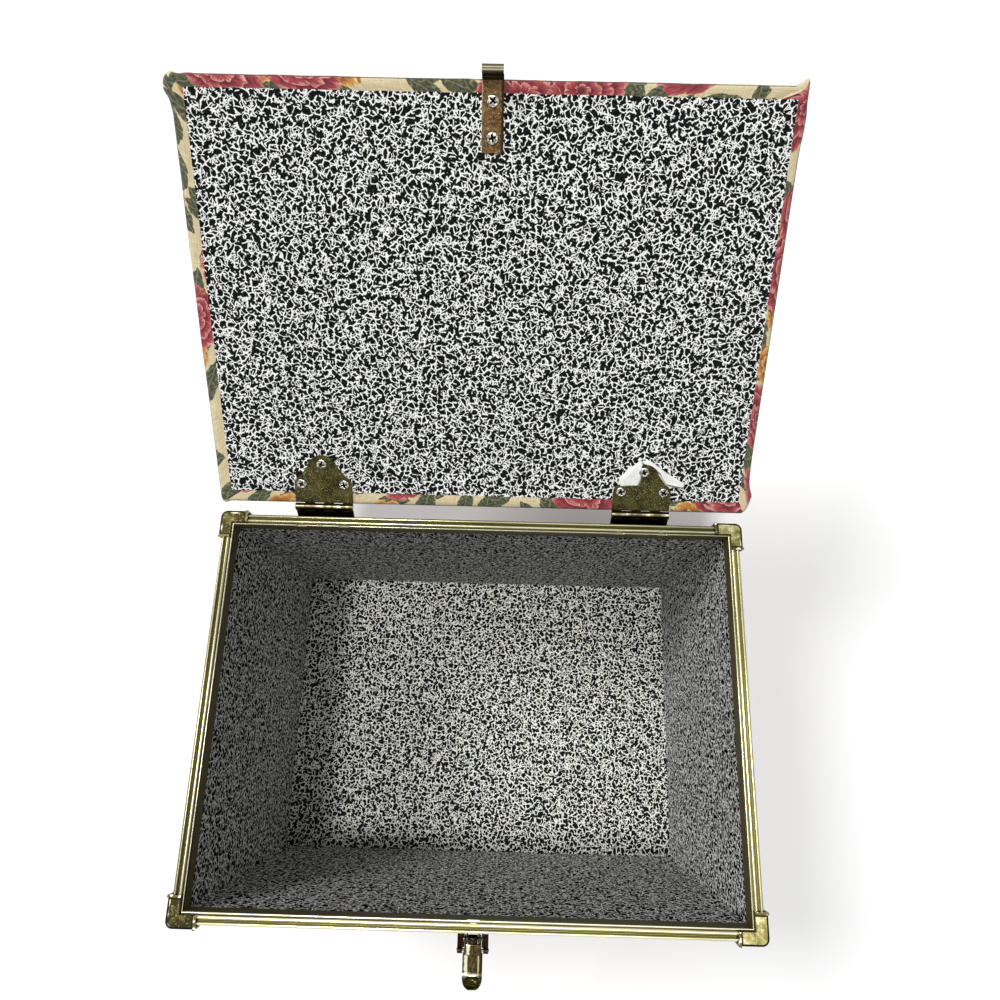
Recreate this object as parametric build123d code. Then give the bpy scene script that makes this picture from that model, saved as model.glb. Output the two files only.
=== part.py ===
from build123d import *
from math import cos, radians, sin
import os

# Fabric covered storage trunk with a hinged lid, stored open as photographed.
# Millimetres, +Z up, front towards -Y. The origin is the middle of the base.

# Box
RIM_WIDTH = 345.0
RIM_DEPTH = 246.5
INSIDE_HEIGHT = 214.4
BOARD = 5.0
COVER = 0.6
PAPER = 0.4
BASE_SHEET = 0.6
BASE_BOARD = 4.8
BASE_SHEET_INSET = 3.0
COVER_TURN_UNDER = 18.0
BOX_CORNER = 2.5

# Rim moulding, a reeded channel that clips over the wall tops
SKIRT = 0.6
SKIRT_DEPTH = 11.0
WALL_TOP_DROP = 2.0
WEB_TOP = -0.9
WEB_BOTTOM = -1.9
BEADS = ((0.0, 2.3, 0.9), (2.6, 5.6, 0.9), (5.9, 7.2, 0.65))

# Corner caps on the rim
CAP_SHEET = 0.9
CAP_PROUD = 2.0
CAP_COVERS = 5.5
CAP_LEG = 16.0
CAP_TOP = 1.0
CAP_DEPTH = 15.0
CAP_TAPER = 1.0
CAP_CORNER = (4.5, 2.5)
CAP_LIP = 0.35
CAP_LIP_LENGTH = 1.5
CAP_ROUND = 0.8
NAIL_ALONG = 8.0
NAIL_DOWN = 13.2
NAIL_SEAT = 1.27
NAIL_LENGTH = 5.0
NAIL_HEAD = 1.7
NAIL_SHANK = 0.7

# Lid, described closed and then swung open
LID_OPEN = 142.67
LID_GAP = 1.4
LID_WIDTH = 355.0
LID_FRONT = 125.7
LID_REAR = 129.0
LID_CENTRE_X = 0.4
LID_BOARD = 5.0
LID_CORNER = 3.0
PAD_EDGE = 4.5
PAD_CROWN = 4.0
PAD_ROUND = 4.0
LINING_WIDTH = 341.2
LINING_FRONT = 118.5
LINING_REAR = 120.4
LINING_CENTRE_X = 1.7
LINING_CARD = 0.7
COVER_SET_BACK = 0.1

# Hinges
AXIS_BEHIND_RIM = 6.8
AXIS_BELOW_RIM = 0.9
HINGE_X = (-106.2, 107.2)
LEAF = 1.2
LEAF_HALF_WIDTH = 19.2
BARREL = 2.3
PIN = 1.0
RUNNING = 0.05
BOX_KNUCKLE = 5.8
LID_KNUCKLE = 6.6
KNUCKLE_GAP = 0.2
KNUCKLES_EACH = 3
SIDE_SCREW = (14.2, 15.7)
SHOULDER = 5.0
TOP_SCREW_AT = 29.9
LOBE_AT = 25.8
LOBE = 10.0
CRANK_EXTRA = 2.4
CRANK = (3.5, 11.5)
CRANK_SKEW = 0.4
SLOT_BEHIND = 2.8
PIN_PROUD = 0.3

# Screws
HEAD = 3.5
HEAD_HEIGHT = 1.5
HEAD_ROUND = 0.7
SMALL_HEAD_HEIGHT = 0.8
SHANK = 1.5
SCREW_STOPS_SHORT = 0.8

# Catch strip on the lid and draw latch on the front wall
LATCH_X = 3.6
STRIP_WIDTH = 12.2
HOOK_WIDTH = 11.8
STRIP = 1.0
STRIP_START = 218.4
STRIP_SCREWS = (225.9, 244.6)
STRIP_BEND = 2.5
PIVOT_OUT = 6.6
PIVOT_DOWN = 13.8
PIVOT_PIN = 0.9
PIVOT_HEAD = 1.5
PIVOT_REACH = (5.2, 5.7)
LOOP_PIN = 0.8
LOOP_PIN_REACH = 9.6
PIVOT_TO_LOOP = 6.4
LEVER_DROOP = 12.0
LEVER_CLOSES = 84.0
LEVER_LENGTH = 29.4
LEVER_ROOT = 5.05
LEVER_MAIN = 5.95
LEVER_INSIDE = 4.1
LEVER_SHOULDER_AT = 9.6
LEVER_HOLLOW_TO = 21.0
LEVER_HOLLOW_EXTRA = 0.8
LEVER_ROOF = 1.1
LEVER_DISH = 6.6
THUMB_DISH_AT = 5.4
THUMB_DISH_UP = 8.9
HEEL = 2.3
LOOP_RISE = 6.5
LOOP_LENGTH = 11.2
LOOP_HALF_WIDTH = 9.2
LOOP_WINDOW = 6.25
LOOP_SHEET = 1.4
LOOP_BAR = 2.0
LOOP_CURL = 1.9
LOOP_CORNER = 1.0
HOOK_HALF_GAP = 1.25
HOOK_PLAY = 0.2
HOOK_LIP = 1.6
DENT_CLEARANCE = 0.4
PLATE = (14.0, 24.0, 3.0)
PLATE_MIDDLE_DOWN = 13.1
EARS = (3.0, 4.0)
TACK_LENGTH = 5.2
TACK_HEAD = 2.2
TACK_SHANK = 1.0
TACKS_DOWN = (22.0, 34.5)

# Sizes that follow from those
FLOOR_Z = BASE_SHEET + COVER + BASE_BOARD + PAPER
RIM_TOP = FLOOR_Z + INSIDE_HEIGHT
COVER_X = RIM_WIDTH / 2 - SKIRT
COVER_Y = RIM_DEPTH / 2 - SKIRT
BOARD_X = COVER_X - COVER
BOARD_Y = COVER_Y - COVER
INNER_X = BOARD_X - BOARD
INNER_Y = BOARD_Y - BOARD
RIM = SKIRT + COVER + BOARD + PAPER + SKIRT
WALL_Z = BASE_SHEET + COVER + BASE_BOARD
WALL_TOP = RIM_TOP - WALL_TOP_DROP
AXIS_Y = RIM_DEPTH / 2 + AXIS_BEHIND_RIM
AXIS_Z = RIM_TOP - AXIS_BELOW_RIM
LID_Z = RIM_TOP + LID_GAP
HINGE_AXIS = Axis((0, AXIS_Y, AXIS_Z), (1, 0, 0))


def block(low, high):
    """A box between two opposite corners."""
    size = [b - a for a, b in zip(low, high)]
    middle = [(a + b) / 2 for a, b in zip(low, high)]
    return Pos(*middle) * Box(*size)


def along_x(face, start, end):
    """A YZ outline carried along X."""
    return extrude(Plane.YZ.offset(start) * face, amount=end - start)


def rod_x(radius, start, end, y=0.0, z=0.0):
    """A round bar along X."""
    return along_x(Pos(y, z) * Circle(radius), start, end)


def outline(*points):
    """A flat face with straight sides."""
    return make_face(Polyline(*points, close=True))


def save(name, shape):
    """Write one sub-part under its own name."""
    shape.label = name
    export_step(shape, f"parts/{name}.step")


def save_group(name, solids):
    """Write several alike pieces as one node of separate solids."""
    save(name, Compound(children=[s.solid() for s in solids]))


def lid_open(shape):
    """Swing a piece of the closed lid back to its stored, open place."""
    return shape.rotate(HINGE_AXIS, -LID_OPEN)


def pan_screw(length, head=HEAD, height=HEAD_HEIGHT, shank=SHANK):
    """A pan head screw whose head sits on z = 0, with its shank pointing down."""
    top = Pos(0, 0, height / 2) * Cylinder(head, height)
    top = fillet(top.edges().group_by(Axis.Z)[-1], height * HEAD_ROUND)
    return top + Pos(0, 0, -length / 2) * Cylinder(shank, length)


def screw_hole(length, shank=SHANK):
    """The clearance hole for that screw."""
    return Pos(0, 0, -length / 2) * Cylinder(shank + RUNNING, length + 4 * RUNNING)


def lid_place(x, s):
    """A place on the closed lid's underside, s millimetres forward of the hinge axis."""
    return Location((x, AXIS_Y - s, LID_Z), (180, 0, 0))


# Screw, nail and tack places, as locations whose +Z points out of the head
LEAF_SCREWS = [(side * SIDE_SCREW[0], SIDE_SCREW[1]) for side in (-1, 1)] + [(0.0, TOP_SCREW_AT)]
LID_SCREWS = [lid_place(x + dx, s) * Pos(0, 0, LEAF) for x in HINGE_X for dx, s in LEAF_SCREWS]
CATCH_SCREWS = [lid_place(LATCH_X, s) * Pos(0, 0, STRIP) for s in STRIP_SCREWS]
BACK_FACE = COVER_Y + RUNNING + LEAF
BACK_SCREWS = [
    Location((x + dx, BACK_FACE, AXIS_Z - s - CRANK_EXTRA), (-90, 0, 0))
    for x in HINGE_X for dx, s in LEAF_SCREWS
]
LID_SCREW_LENGTH = LEAF + LINING_CARD + LID_BOARD - SCREW_STOPS_SHORT
BACK_SCREW_LENGTH = LEAF + COVER + BOARD - SCREW_STOPS_SHORT


def cap_nail_places():
    """Two nails for each corner cap, one in each flange, heads outwards."""
    half_x = RIM_WIDTH / 2
    half_y = RIM_DEPTH / 2
    z = RIM_TOP - NAIL_DOWN
    places = []
    for sx in (-1, 1):
        for sy in (-1, 1):
            in_front = (sx * (half_x - NAIL_ALONG), sy * (half_y + NAIL_SEAT), z)
            in_side = (sx * (half_x + NAIL_SEAT), sy * (half_y - NAIL_ALONG), z)
            places.append(Location(in_front, (-90 * sy, 0, 0)))
            places.append(Location(in_side, (0, 90 * sx, 0)))
    return places


CAP_NAILS = cap_nail_places()
TACKS = [Location((LATCH_X, -COVER_Y - LEAF, RIM_TOP - down), (90, 0, 0)) for down in TACKS_DOWN]


def drill(shape, places, length, shank):
    """Clearance holes for the screws, nails or tacks at the given places."""
    for place in places:
        shape = shape - place * screw_hole(length, shank)
    return shape


def box_core(low, high):
    """The space inside the cover, with its upright corners rounded."""
    core = block((-BOARD_X, -BOARD_Y, low), (BOARD_X, BOARD_Y, high))
    return fillet(core.edges().filter_by(Axis.Z), BOX_CORNER - COVER)


def wall_boards():
    """Four boards standing on the base board, front and back running full width."""
    front = block((-BOARD_X, -BOARD_Y, WALL_Z), (BOARD_X, -INNER_Y, WALL_TOP))
    front = fillet(front.edges().filter_by(Axis.Z).group_by(Axis.Y)[0], BOX_CORNER - COVER)
    walls = {
        "wall_front": front,
        "wall_back": front.mirror(Plane.XZ),
        "wall_left": block((-BOARD_X, -INNER_Y, WALL_Z), (-INNER_X, INNER_Y, WALL_TOP)),
        "wall_right": block((INNER_X, -INNER_Y, WALL_Z), (BOARD_X, INNER_Y, WALL_TOP)),
    }
    for name, wall in walls.items():
        wall = drill(wall, CAP_NAILS, NAIL_LENGTH, NAIL_SHANK)
        if name == "wall_front":
            wall = drill(wall, TACKS, TACK_LENGTH, TACK_SHANK)
        if name == "wall_back":
            wall = drill(wall, BACK_SCREWS, BACK_SCREW_LENGTH, SHANK)
        walls[name] = wall
    return walls


def outer_cover():
    """Fabric glued round the outside and turned under the base."""
    skin = block((-COVER_X, -COVER_Y, BASE_SHEET), (COVER_X, COVER_Y, WALL_TOP))
    skin = fillet(skin.edges().filter_by(Axis.Z), BOX_CORNER)
    skin = skin - box_core(BASE_SHEET + COVER, WALL_TOP)
    under_x = COVER_X - COVER_TURN_UNDER
    under_y = COVER_Y - COVER_TURN_UNDER
    skin = skin - block((-under_x, -under_y, BASE_SHEET), (under_x, under_y, BASE_SHEET + COVER))
    skin = drill(skin, CAP_NAILS, NAIL_LENGTH, NAIL_SHANK)
    skin = drill(skin, TACKS, TACK_LENGTH, TACK_SHANK)
    return drill(skin, BACK_SCREWS, BACK_SCREW_LENGTH, SHANK)


def base_sheet():
    """Black paper pasted over the turned-under fabric; the trunk stands on it."""
    x = COVER_X - BASE_SHEET_INSET
    y = COVER_Y - BASE_SHEET_INSET
    return block((-x, -y, 0), (x, y, BASE_SHEET))


def wall_lining():
    """Printed paper round the inside of the walls."""
    paper = block((-INNER_X, -INNER_Y, WALL_Z), (INNER_X, INNER_Y, WALL_TOP))
    x = INNER_X - PAPER
    y = INNER_Y - PAPER
    return paper - block((-x, -y, WALL_Z), (x, y, WALL_TOP))


def floor_lining():
    """Printed paper on the base board, inside the wall lining."""
    x = INNER_X - PAPER
    y = INNER_Y - PAPER
    return block((-x, -y, WALL_Z), (x, y, FLOOR_Z))


def bead(start, end, height):
    """One rounded reed of the moulding, standing on its web."""
    middle = (start + end) / 2
    arc = ThreePointArc((start, WEB_TOP), (middle, WEB_TOP + height), (end, WEB_TOP))
    return make_face(Curve() + [arc, Line((end, WEB_TOP), (start, WEB_TOP))])


def moulding(length, half_depth):
    """A mitred length of reeded channel for the front edge, before it is turned into place."""
    section = outline((0, WEB_BOTTOM), (RIM, WEB_BOTTOM), (RIM, WEB_TOP), (0, WEB_TOP))
    for near in (0, RIM - SKIRT):
        section += outline(
            (near, -SKIRT_DEPTH), (near + SKIRT, -SKIRT_DEPTH), (near + SKIRT, WEB_TOP), (near, WEB_TOP)
        )
    for start, end, height in BEADS:
        section += bead(start, end, height)
    half = length / 2
    channel = along_x(section, -half, half)
    inner = half - RIM
    blunt = BOX_CORNER / 2
    mitre = outline(
        (-half + BOX_CORNER, 0), (half - BOX_CORNER, 0), (half - blunt, blunt),
        (inner, RIM), (-inner, RIM), (-half + blunt, blunt),
    )
    channel = channel & extrude(mitre, amount=2 * SKIRT_DEPTH, both=True)
    return Pos(0, -half_depth, RIM_TOP) * channel


def dented(rim, heads):
    """Sink a round dent under each screw head, given by its x, its s and the metal below it."""
    for x, s, sheet in heads:
        depth = sheet + HEAD_HEIGHT - LID_GAP + DENT_CLEARANCE / 2
        rim = rim - Pos(x, AXIS_Y - s, RIM_TOP - depth / 2) * Cylinder(HEAD + DENT_CLEARANCE, depth)
    return rim


def rim_mouldings():
    """Front, back, left and right lengths, dented where the lid's screw heads come down on them."""
    front = moulding(RIM_WIDTH, RIM_DEPTH / 2)
    side = moulding(RIM_DEPTH, RIM_WIDTH / 2)
    back = front.rotate(Axis.Z, 180)
    s = SIDE_SCREW[1]
    dents = [(x + dx, s, LEAF) for x in HINGE_X for dx in (-SIDE_SCREW[0], SIDE_SCREW[0])]
    return {
        "rim_front": dented(front, [(LATCH_X, STRIP_SCREWS[1], STRIP)]),
        "rim_back": dented(back, dents),
        "rim_left": side.rotate(Axis.Z, -90),
        "rim_right": side.rotate(Axis.Z, 90),
    }


def cap_outline(proud, z, radius, covers, leg):
    """The L of a corner cap at one height, its corner on the rim's outer corner."""
    face = outline(
        (-proud, -proud), (leg, -proud), (leg, covers), (covers, covers), (covers, leg), (-proud, leg)
    )
    corner = face.vertices().sort_by_distance((-proud, -proud))[0]
    return Pos(0, 0, z) * fillet(corner, radius)


def cap_block(grow, bottom, top, covers=CAP_COVERS, leg=CAP_LEG):
    """The tapering L shaped block that a cap fills, or the space inside it."""
    upper = cap_outline(CAP_PROUD + grow, top, CAP_CORNER[0] + grow, covers, leg)
    lower = cap_outline(CAP_PROUD - CAP_TAPER + grow, bottom, CAP_CORNER[1] + grow, covers, leg)
    return loft([lower, upper])


def corner_cap():
    """A stamped cap for the front left corner: L top, tapering flanges and a lipped end on each leg."""
    shell = cap_block(0, -CAP_DEPTH, CAP_TOP)
    top_edges = shell.edges().group_by(Axis.Z)[-1]
    rounded = [e for e in top_edges if min(e.center().X, e.center().Y) < 0]
    shell = fillet(rounded, CAP_ROUND)
    lip = cap_block(CAP_LIP, -CAP_DEPTH, CAP_TOP + CAP_LIP)
    start = CAP_LEG - CAP_LIP_LENGTH
    ends = block((start, -CAP_LEG, -CAP_LEG), (CAP_LEG, CAP_COVERS, CAP_LEG))
    ends += block((-CAP_LEG, start, -CAP_LEG), (CAP_COVERS, CAP_LEG, CAP_LEG))
    shell = shell + (lip & ends)
    return shell - cap_block(-CAP_SHEET, -CAP_DEPTH, RUNNING, RIM_WIDTH / 8, RIM_WIDTH / 6)


def corner_caps():
    """The four caps, mirrored from one, with a hole for each nail."""
    cap = Pos(-RIM_WIDTH / 2, -RIM_DEPTH / 2, RIM_TOP) * corner_cap()
    caps = {
        "rim_cap_front_left": cap,
        "rim_cap_front_right": cap.mirror(Plane.YZ),
        "rim_cap_back_left": cap.mirror(Plane.XZ),
        "rim_cap_back_right": cap.mirror(Plane.XZ).mirror(Plane.YZ),
    }
    return {name: drill(piece, CAP_NAILS, NAIL_LENGTH, NAIL_SHANK) for name, piece in caps.items()}


def leaf_outline(extra=0.0):
    """A hinge leaf seen flat: straight sides, two shoulders and a round top lobe."""
    x, s = SIDE_SCREW
    s += extra
    lobe = LOBE_AT + extra
    face = outline((-LEAF_HALF_WIDTH, 0), (LEAF_HALF_WIDTH, 0), (LEAF_HALF_WIDTH, s), (-LEAF_HALF_WIDTH, s))
    face += outline((-x - 2, s + 4), (x + 2, s + 4), (LOBE - 0.8, lobe + 3), (-LOBE + 0.8, lobe + 3))
    face += outline((-x, s), (x, s), (x, s + SHOULDER), (-x, s + SHOULDER))
    face += Pos(-x, s) * Circle(SHOULDER) + Pos(x, s) * Circle(SHOULDER)
    return face + Pos(0, lobe) * Circle(LOBE)


def knuckle_spans(first_is_box):
    """Where the box leaf's and the lid leaf's knuckles lie along a hinge centred on x = 0."""
    box_spans = []
    lid_spans = []
    x = -LEAF_HALF_WIDTH + KNUCKLE_GAP / 2
    for _ in range(KNUCKLES_EACH):
        box_spans.append((x, x + BOX_KNUCKLE))
        x += BOX_KNUCKLE + KNUCKLE_GAP
        lid_spans.append((x, x + LID_KNUCKLE))
        x += LID_KNUCKLE + KNUCKLE_GAP
    if first_is_box:
        return box_spans, lid_spans
    return [[-b, -a] for a, b in box_spans], [[-b, -a] for a, b in lid_spans]


def with_knuckles(leaf, own, other, slot):
    """Cut the other leaf's slots, roll this leaf's own knuckles and bore them for the pin."""
    (low_y, low_z), (high_y, high_z) = slot
    for start, end in other:
        leaf -= block((start - KNUCKLE_GAP, low_y, low_z), (end + KNUCKLE_GAP, high_y, high_z))
    for start, end in own:
        leaf += rod_x(BARREL, start, end)
    return leaf - rod_x(PIN + RUNNING, -LEAF_HALF_WIDTH, LEAF_HALF_WIDTH)


def lid_leaf(x, first_is_box):
    """The leaf screwed flat to the lid's underside."""
    flat = extrude(Rot(180, 0, 0) * leaf_outline(), amount=-LEAF)
    flat = Pos(0, 0, BARREL - LEAF) * flat
    box_spans, lid_spans = knuckle_spans(first_is_box)
    slot = ((-SLOT_BEHIND, 0), (1, 2 * BARREL))
    leaf = with_knuckles(flat, lid_spans, box_spans, slot)
    leaf = Pos(x, AXIS_Y, AXIS_Z) * leaf
    return drill(leaf, LID_SCREWS, LID_SCREW_LENGTH, SHANK)


def box_leaf(x, first_is_box):
    """The leaf screwed to the back, cranked so that its barrel stands clear behind the lid."""
    half = LEAF / 2
    near = BARREL - half
    wall = AXIS_BEHIND_RIM + SKIRT - half - RUNNING
    bottom = -(LOBE_AT + LOBE + CRANK_EXTRA)
    start, end = CRANK
    section = outline(
        (-near - half, 0), (-near - half, CRANK_SKEW - start),
        (-wall - half, CRANK_SKEW - end), (-wall - half, bottom),
        (-wall + half, bottom), (-wall + half, -CRANK_SKEW - end),
        (-near + half, -CRANK_SKEW - start), (-near + half, 0),
    )
    flat = along_x(section, -LEAF_HALF_WIDTH, LEAF_HALF_WIDTH)
    shape = Plane.XZ * (Rot(180, 0, 0) * leaf_outline(CRANK_EXTRA))
    bent = flat & extrude(shape, amount=2 * wall, both=True)
    box_spans, lid_spans = knuckle_spans(first_is_box)
    slot = ((-2 * BARREL, -SLOT_BEHIND), (0, BARREL))
    leaf = with_knuckles(bent, box_spans, lid_spans, slot)
    leaf = Pos(x, AXIS_Y, AXIS_Z) * leaf
    return drill(leaf, BACK_SCREWS, BACK_SCREW_LENGTH, SHANK)


def lid_slab(grow, low, high):
    """A slab with the lid's outline, grown outwards by a little, between two heights."""
    half = LID_WIDTH / 2 + grow
    slab = block(
        (LID_CENTRE_X - half, -LID_FRONT - grow, low), (LID_CENTRE_X + half, LID_REAR + grow, high)
    )
    return fillet(slab.edges().filter_by(Axis.Z), LID_CORNER + grow)


def crowned(slab, edge_top, round_over):
    """Round the slab's top over and crown it, highest in the middle."""
    slab = fillet(slab.edges().group_by(Axis.Z)[-1], round_over)
    middle_y = (LID_REAR - LID_FRONT) / 2
    reach = LID_WIDTH / 2
    radius = (reach ** 2 + PAD_CROWN ** 2) / (2 * PAD_CROWN)
    dome = Pos(LID_CENTRE_X, middle_y, edge_top + PAD_CROWN - radius) * Sphere(radius)
    return slab & dome


def lid_pieces():
    """Board, wadding, fabric cover and card lining of the closed lid."""
    board_low = LID_Z + LINING_CARD
    board_high = board_low + LID_BOARD
    board = lid_slab(-COVER, board_low, board_high)
    pad_top = board_high + PAD_EDGE + PAD_CROWN
    pad = crowned(lid_slab(-COVER, board_high, pad_top), board_high + PAD_EDGE, PAD_ROUND)
    skin = lid_slab(0, LID_Z + COVER_SET_BACK, pad_top + COVER)
    cover = crowned(skin, board_high + PAD_EDGE + COVER, PAD_ROUND + COVER)
    lining_low = (LINING_CENTRE_X - LINING_WIDTH / 2, -LINING_FRONT, LID_Z)
    lining_high = (LINING_CENTRE_X + LINING_WIDTH / 2, LINING_REAR, board_low)
    lining = block(lining_low, lining_high)
    cover = cover - board - pad - lining
    pieces = {"lid_board": board, "lid_cover": cover, "lid_lining": lining}
    for name, piece in pieces.items():
        piece = drill(piece, LID_SCREWS, LID_SCREW_LENGTH, SHANK)
        pieces[name] = drill(piece, CATCH_SCREWS, LID_SCREW_LENGTH, SHANK)
    pieces["lid_padding"] = pad
    return pieces


def hooked_bar():
    """Where the loop's bar hangs in the hook, out from the cover and down from the rim top."""
    closed = radians(LEVER_DROOP + LEVER_CLOSES)
    out = PIVOT_OUT + PIVOT_TO_LOOP * cos(closed)
    down = PIVOT_DOWN + PIVOT_TO_LOOP * sin(closed)
    lean = radians(LOOP_RISE + LEVER_CLOSES)
    return out - LOOP_LENGTH * cos(lean), down - LOOP_LENGTH * sin(lean)


def catch_strip():
    """A strip on the lid's underside, bent down before the rim and curled into a hook."""
    out, down = hooked_bar()
    bar_s = AXIS_Y + COVER_Y + out
    inner = bar_s - HOOK_HALF_GAP - STRIP
    bend = STRIP_BEND
    low = LID_GAP + down + HOOK_PLAY - (HOOK_HALF_GAP - LOOP_BAR / 2)
    tip = low - HOOK_LIP
    far = bar_s + HOOK_HALF_GAP + STRIP
    bend_s = inner - bend
    edge = Curve() + [
        Line((STRIP_START, 0), (bend_s, 0)),
        RadiusArc((bend_s, 0), (inner + STRIP, bend + STRIP), -bend - STRIP),
        Line((inner + STRIP, bend + STRIP), (inner + STRIP, low)),
        ThreePointArc((inner + STRIP, low), (bar_s, low + HOOK_HALF_GAP), (far - STRIP, low)),
        Line((far - STRIP, low), (far - STRIP, tip)),
        Line((far - STRIP, tip), (far, tip)),
        Line((far, tip), (far, low)),
        ThreePointArc((far, low), (bar_s, low + HOOK_HALF_GAP + STRIP), (inner, low)),
        Line((inner, low), (inner, bend + STRIP)),
        RadiusArc((inner, bend + STRIP), (bend_s, STRIP), bend),
        Line((bend_s, STRIP), (STRIP_START, STRIP)),
        Line((STRIP_START, STRIP), (STRIP_START, 0)),
    ]
    band = along_x(make_face(edge), -STRIP_WIDTH / 2, STRIP_WIDTH / 2)
    trim = block((HOOK_WIDTH / 2, bend_s, bend + STRIP), (HOOK_WIDTH, far, 2 * low))
    band = band - trim - trim.mirror(Plane.YZ)
    band = Pos(LATCH_X, AXIS_Y, LID_Z) * (Rot(180, 0, 0) * band)
    return drill(band, CATCH_SCREWS, LID_SCREW_LENGTH, SHANK)


def latch_place(shape):
    """Move a piece made round the lever's pivot to its place before the front wall."""
    return Pos(LATCH_X, -COVER_Y - PIVOT_OUT, RIM_TOP - PIVOT_DOWN) * shape


def latch_base():
    """The plate tacked to the front, with two ears that carry the lever's pivot."""
    wall = PIVOT_OUT
    ear = outline(
        (wall - LEAF, -1.1), (1.6, -1.1), (0, 0), (0, -HEEL), (wall - 4.2, -4.7), (wall - LEAF, -12.0)
    )
    ear = along_x(ear + Circle(HEEL), *EARS)
    plate = Plane.XZ.offset(-wall) * (Pos(0, -PLATE_MIDDLE_DOWN) * RectangleRounded(*PLATE))
    base = extrude(plate, amount=LEAF) + ear + ear.mirror(Plane.YZ)
    base -= rod_x(PIVOT_PIN + RUNNING, -EARS[1], EARS[1])
    return drill(latch_place(base), TACKS, TACK_LENGTH, TACK_SHANK)


def latch_lever():
    """A stamped lever: channel root on the pivot, reeded body and a dished, upturned thumb end."""
    tip = -LEVER_LENGTH
    side = make_face(Curve() + [
        Line((-1.0, 2.1), (-22.5, 2.1)),
        Spline((-22.5, 2.1), (-26.0, 2.5), (tip, 4.4)),
        Line((tip, 4.4), (tip - 0.2, 3.4)),
        Spline((tip - 0.2, 3.4), (-26.0, 0.6), (-21.5, -0.9)),
        Line((-21.5, -0.9), (-1.0, -2.0)),
        Line((-1.0, -2.0), (-1.0, 2.1)),
    ])
    side += Circle(HEEL)
    body = along_x(side, -LEVER_MAIN, LEVER_MAIN)
    shoulder = -LEVER_SHOULDER_AT
    thumb = tip + LEVER_MAIN
    root = outline((-LEVER_ROOT, 3), (LEVER_ROOT, 3), (LEVER_ROOT, shoulder), (-LEVER_ROOT, shoulder))
    main = outline((-LEVER_MAIN, shoulder), (LEVER_MAIN, shoulder), (LEVER_MAIN, thumb), (-LEVER_MAIN, thumb))
    plan = root + main + Pos(0, thumb) * Circle(LEVER_MAIN)
    body = body & extrude(plan, amount=LEVER_LENGTH, both=True)
    inside = LEVER_INSIDE
    wider = LEVER_INSIDE + LEVER_HOLLOW_EXTRA
    step = shoulder - LEVER_HOLLOW_EXTRA
    body -= block((-inside, step, -5), (inside, 4, LEVER_ROOF))
    body -= block((-wider, -LEVER_HOLLOW_TO, -5), (wider, step, LEVER_ROOF))
    body -= block((-inside, -2.2, 0), (inside, 4, 5))
    body -= extrude(Plane.XZ.offset(9.8) * (Pos(0, 13.6) * Circle(12.0)), amount=12.4)
    body -= Pos(0, tip + THUMB_DISH_AT, THUMB_DISH_UP) * Sphere(LEVER_DISH)
    body -= rod_x(PIVOT_PIN + RUNNING, -LEVER_ROOT, LEVER_ROOT)
    return body - rod_x(LOOP_PIN + RUNNING, -LEVER_ROOT, LEVER_ROOT, -PIVOT_TO_LOOP)


def latch_loop():
    """A stamped frame whose two legs curl round the loop pin and whose bar takes the hook."""
    half_sheet = LOOP_SHEET / 2
    corner_x = LOOP_HALF_WIDTH - LOOP_CORNER
    corner_y = LOOP_LENGTH + LOOP_BAR / 2 - LOOP_CORNER
    arm = block((LOOP_WINDOW, 0, -half_sheet), (LOOP_HALF_WIDTH, corner_y, half_sheet))
    arm += rod_x(LOOP_CURL, LOOP_WINDOW, LOOP_HALF_WIDTH)
    arm += Pos(corner_x, corner_y, 0) * Cylinder(LOOP_CORNER, LOOP_SHEET)
    bar = along_x(Pos(LOOP_LENGTH, 0) * RectangleRounded(LOOP_BAR, LOOP_SHEET, 0.6), -corner_x, corner_x)
    frame = bar + arm + arm.mirror(Plane.YZ)
    return frame - rod_x(LOOP_PIN + RUNNING, -LOOP_HALF_WIDTH, LOOP_HALF_WIDTH)


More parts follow.
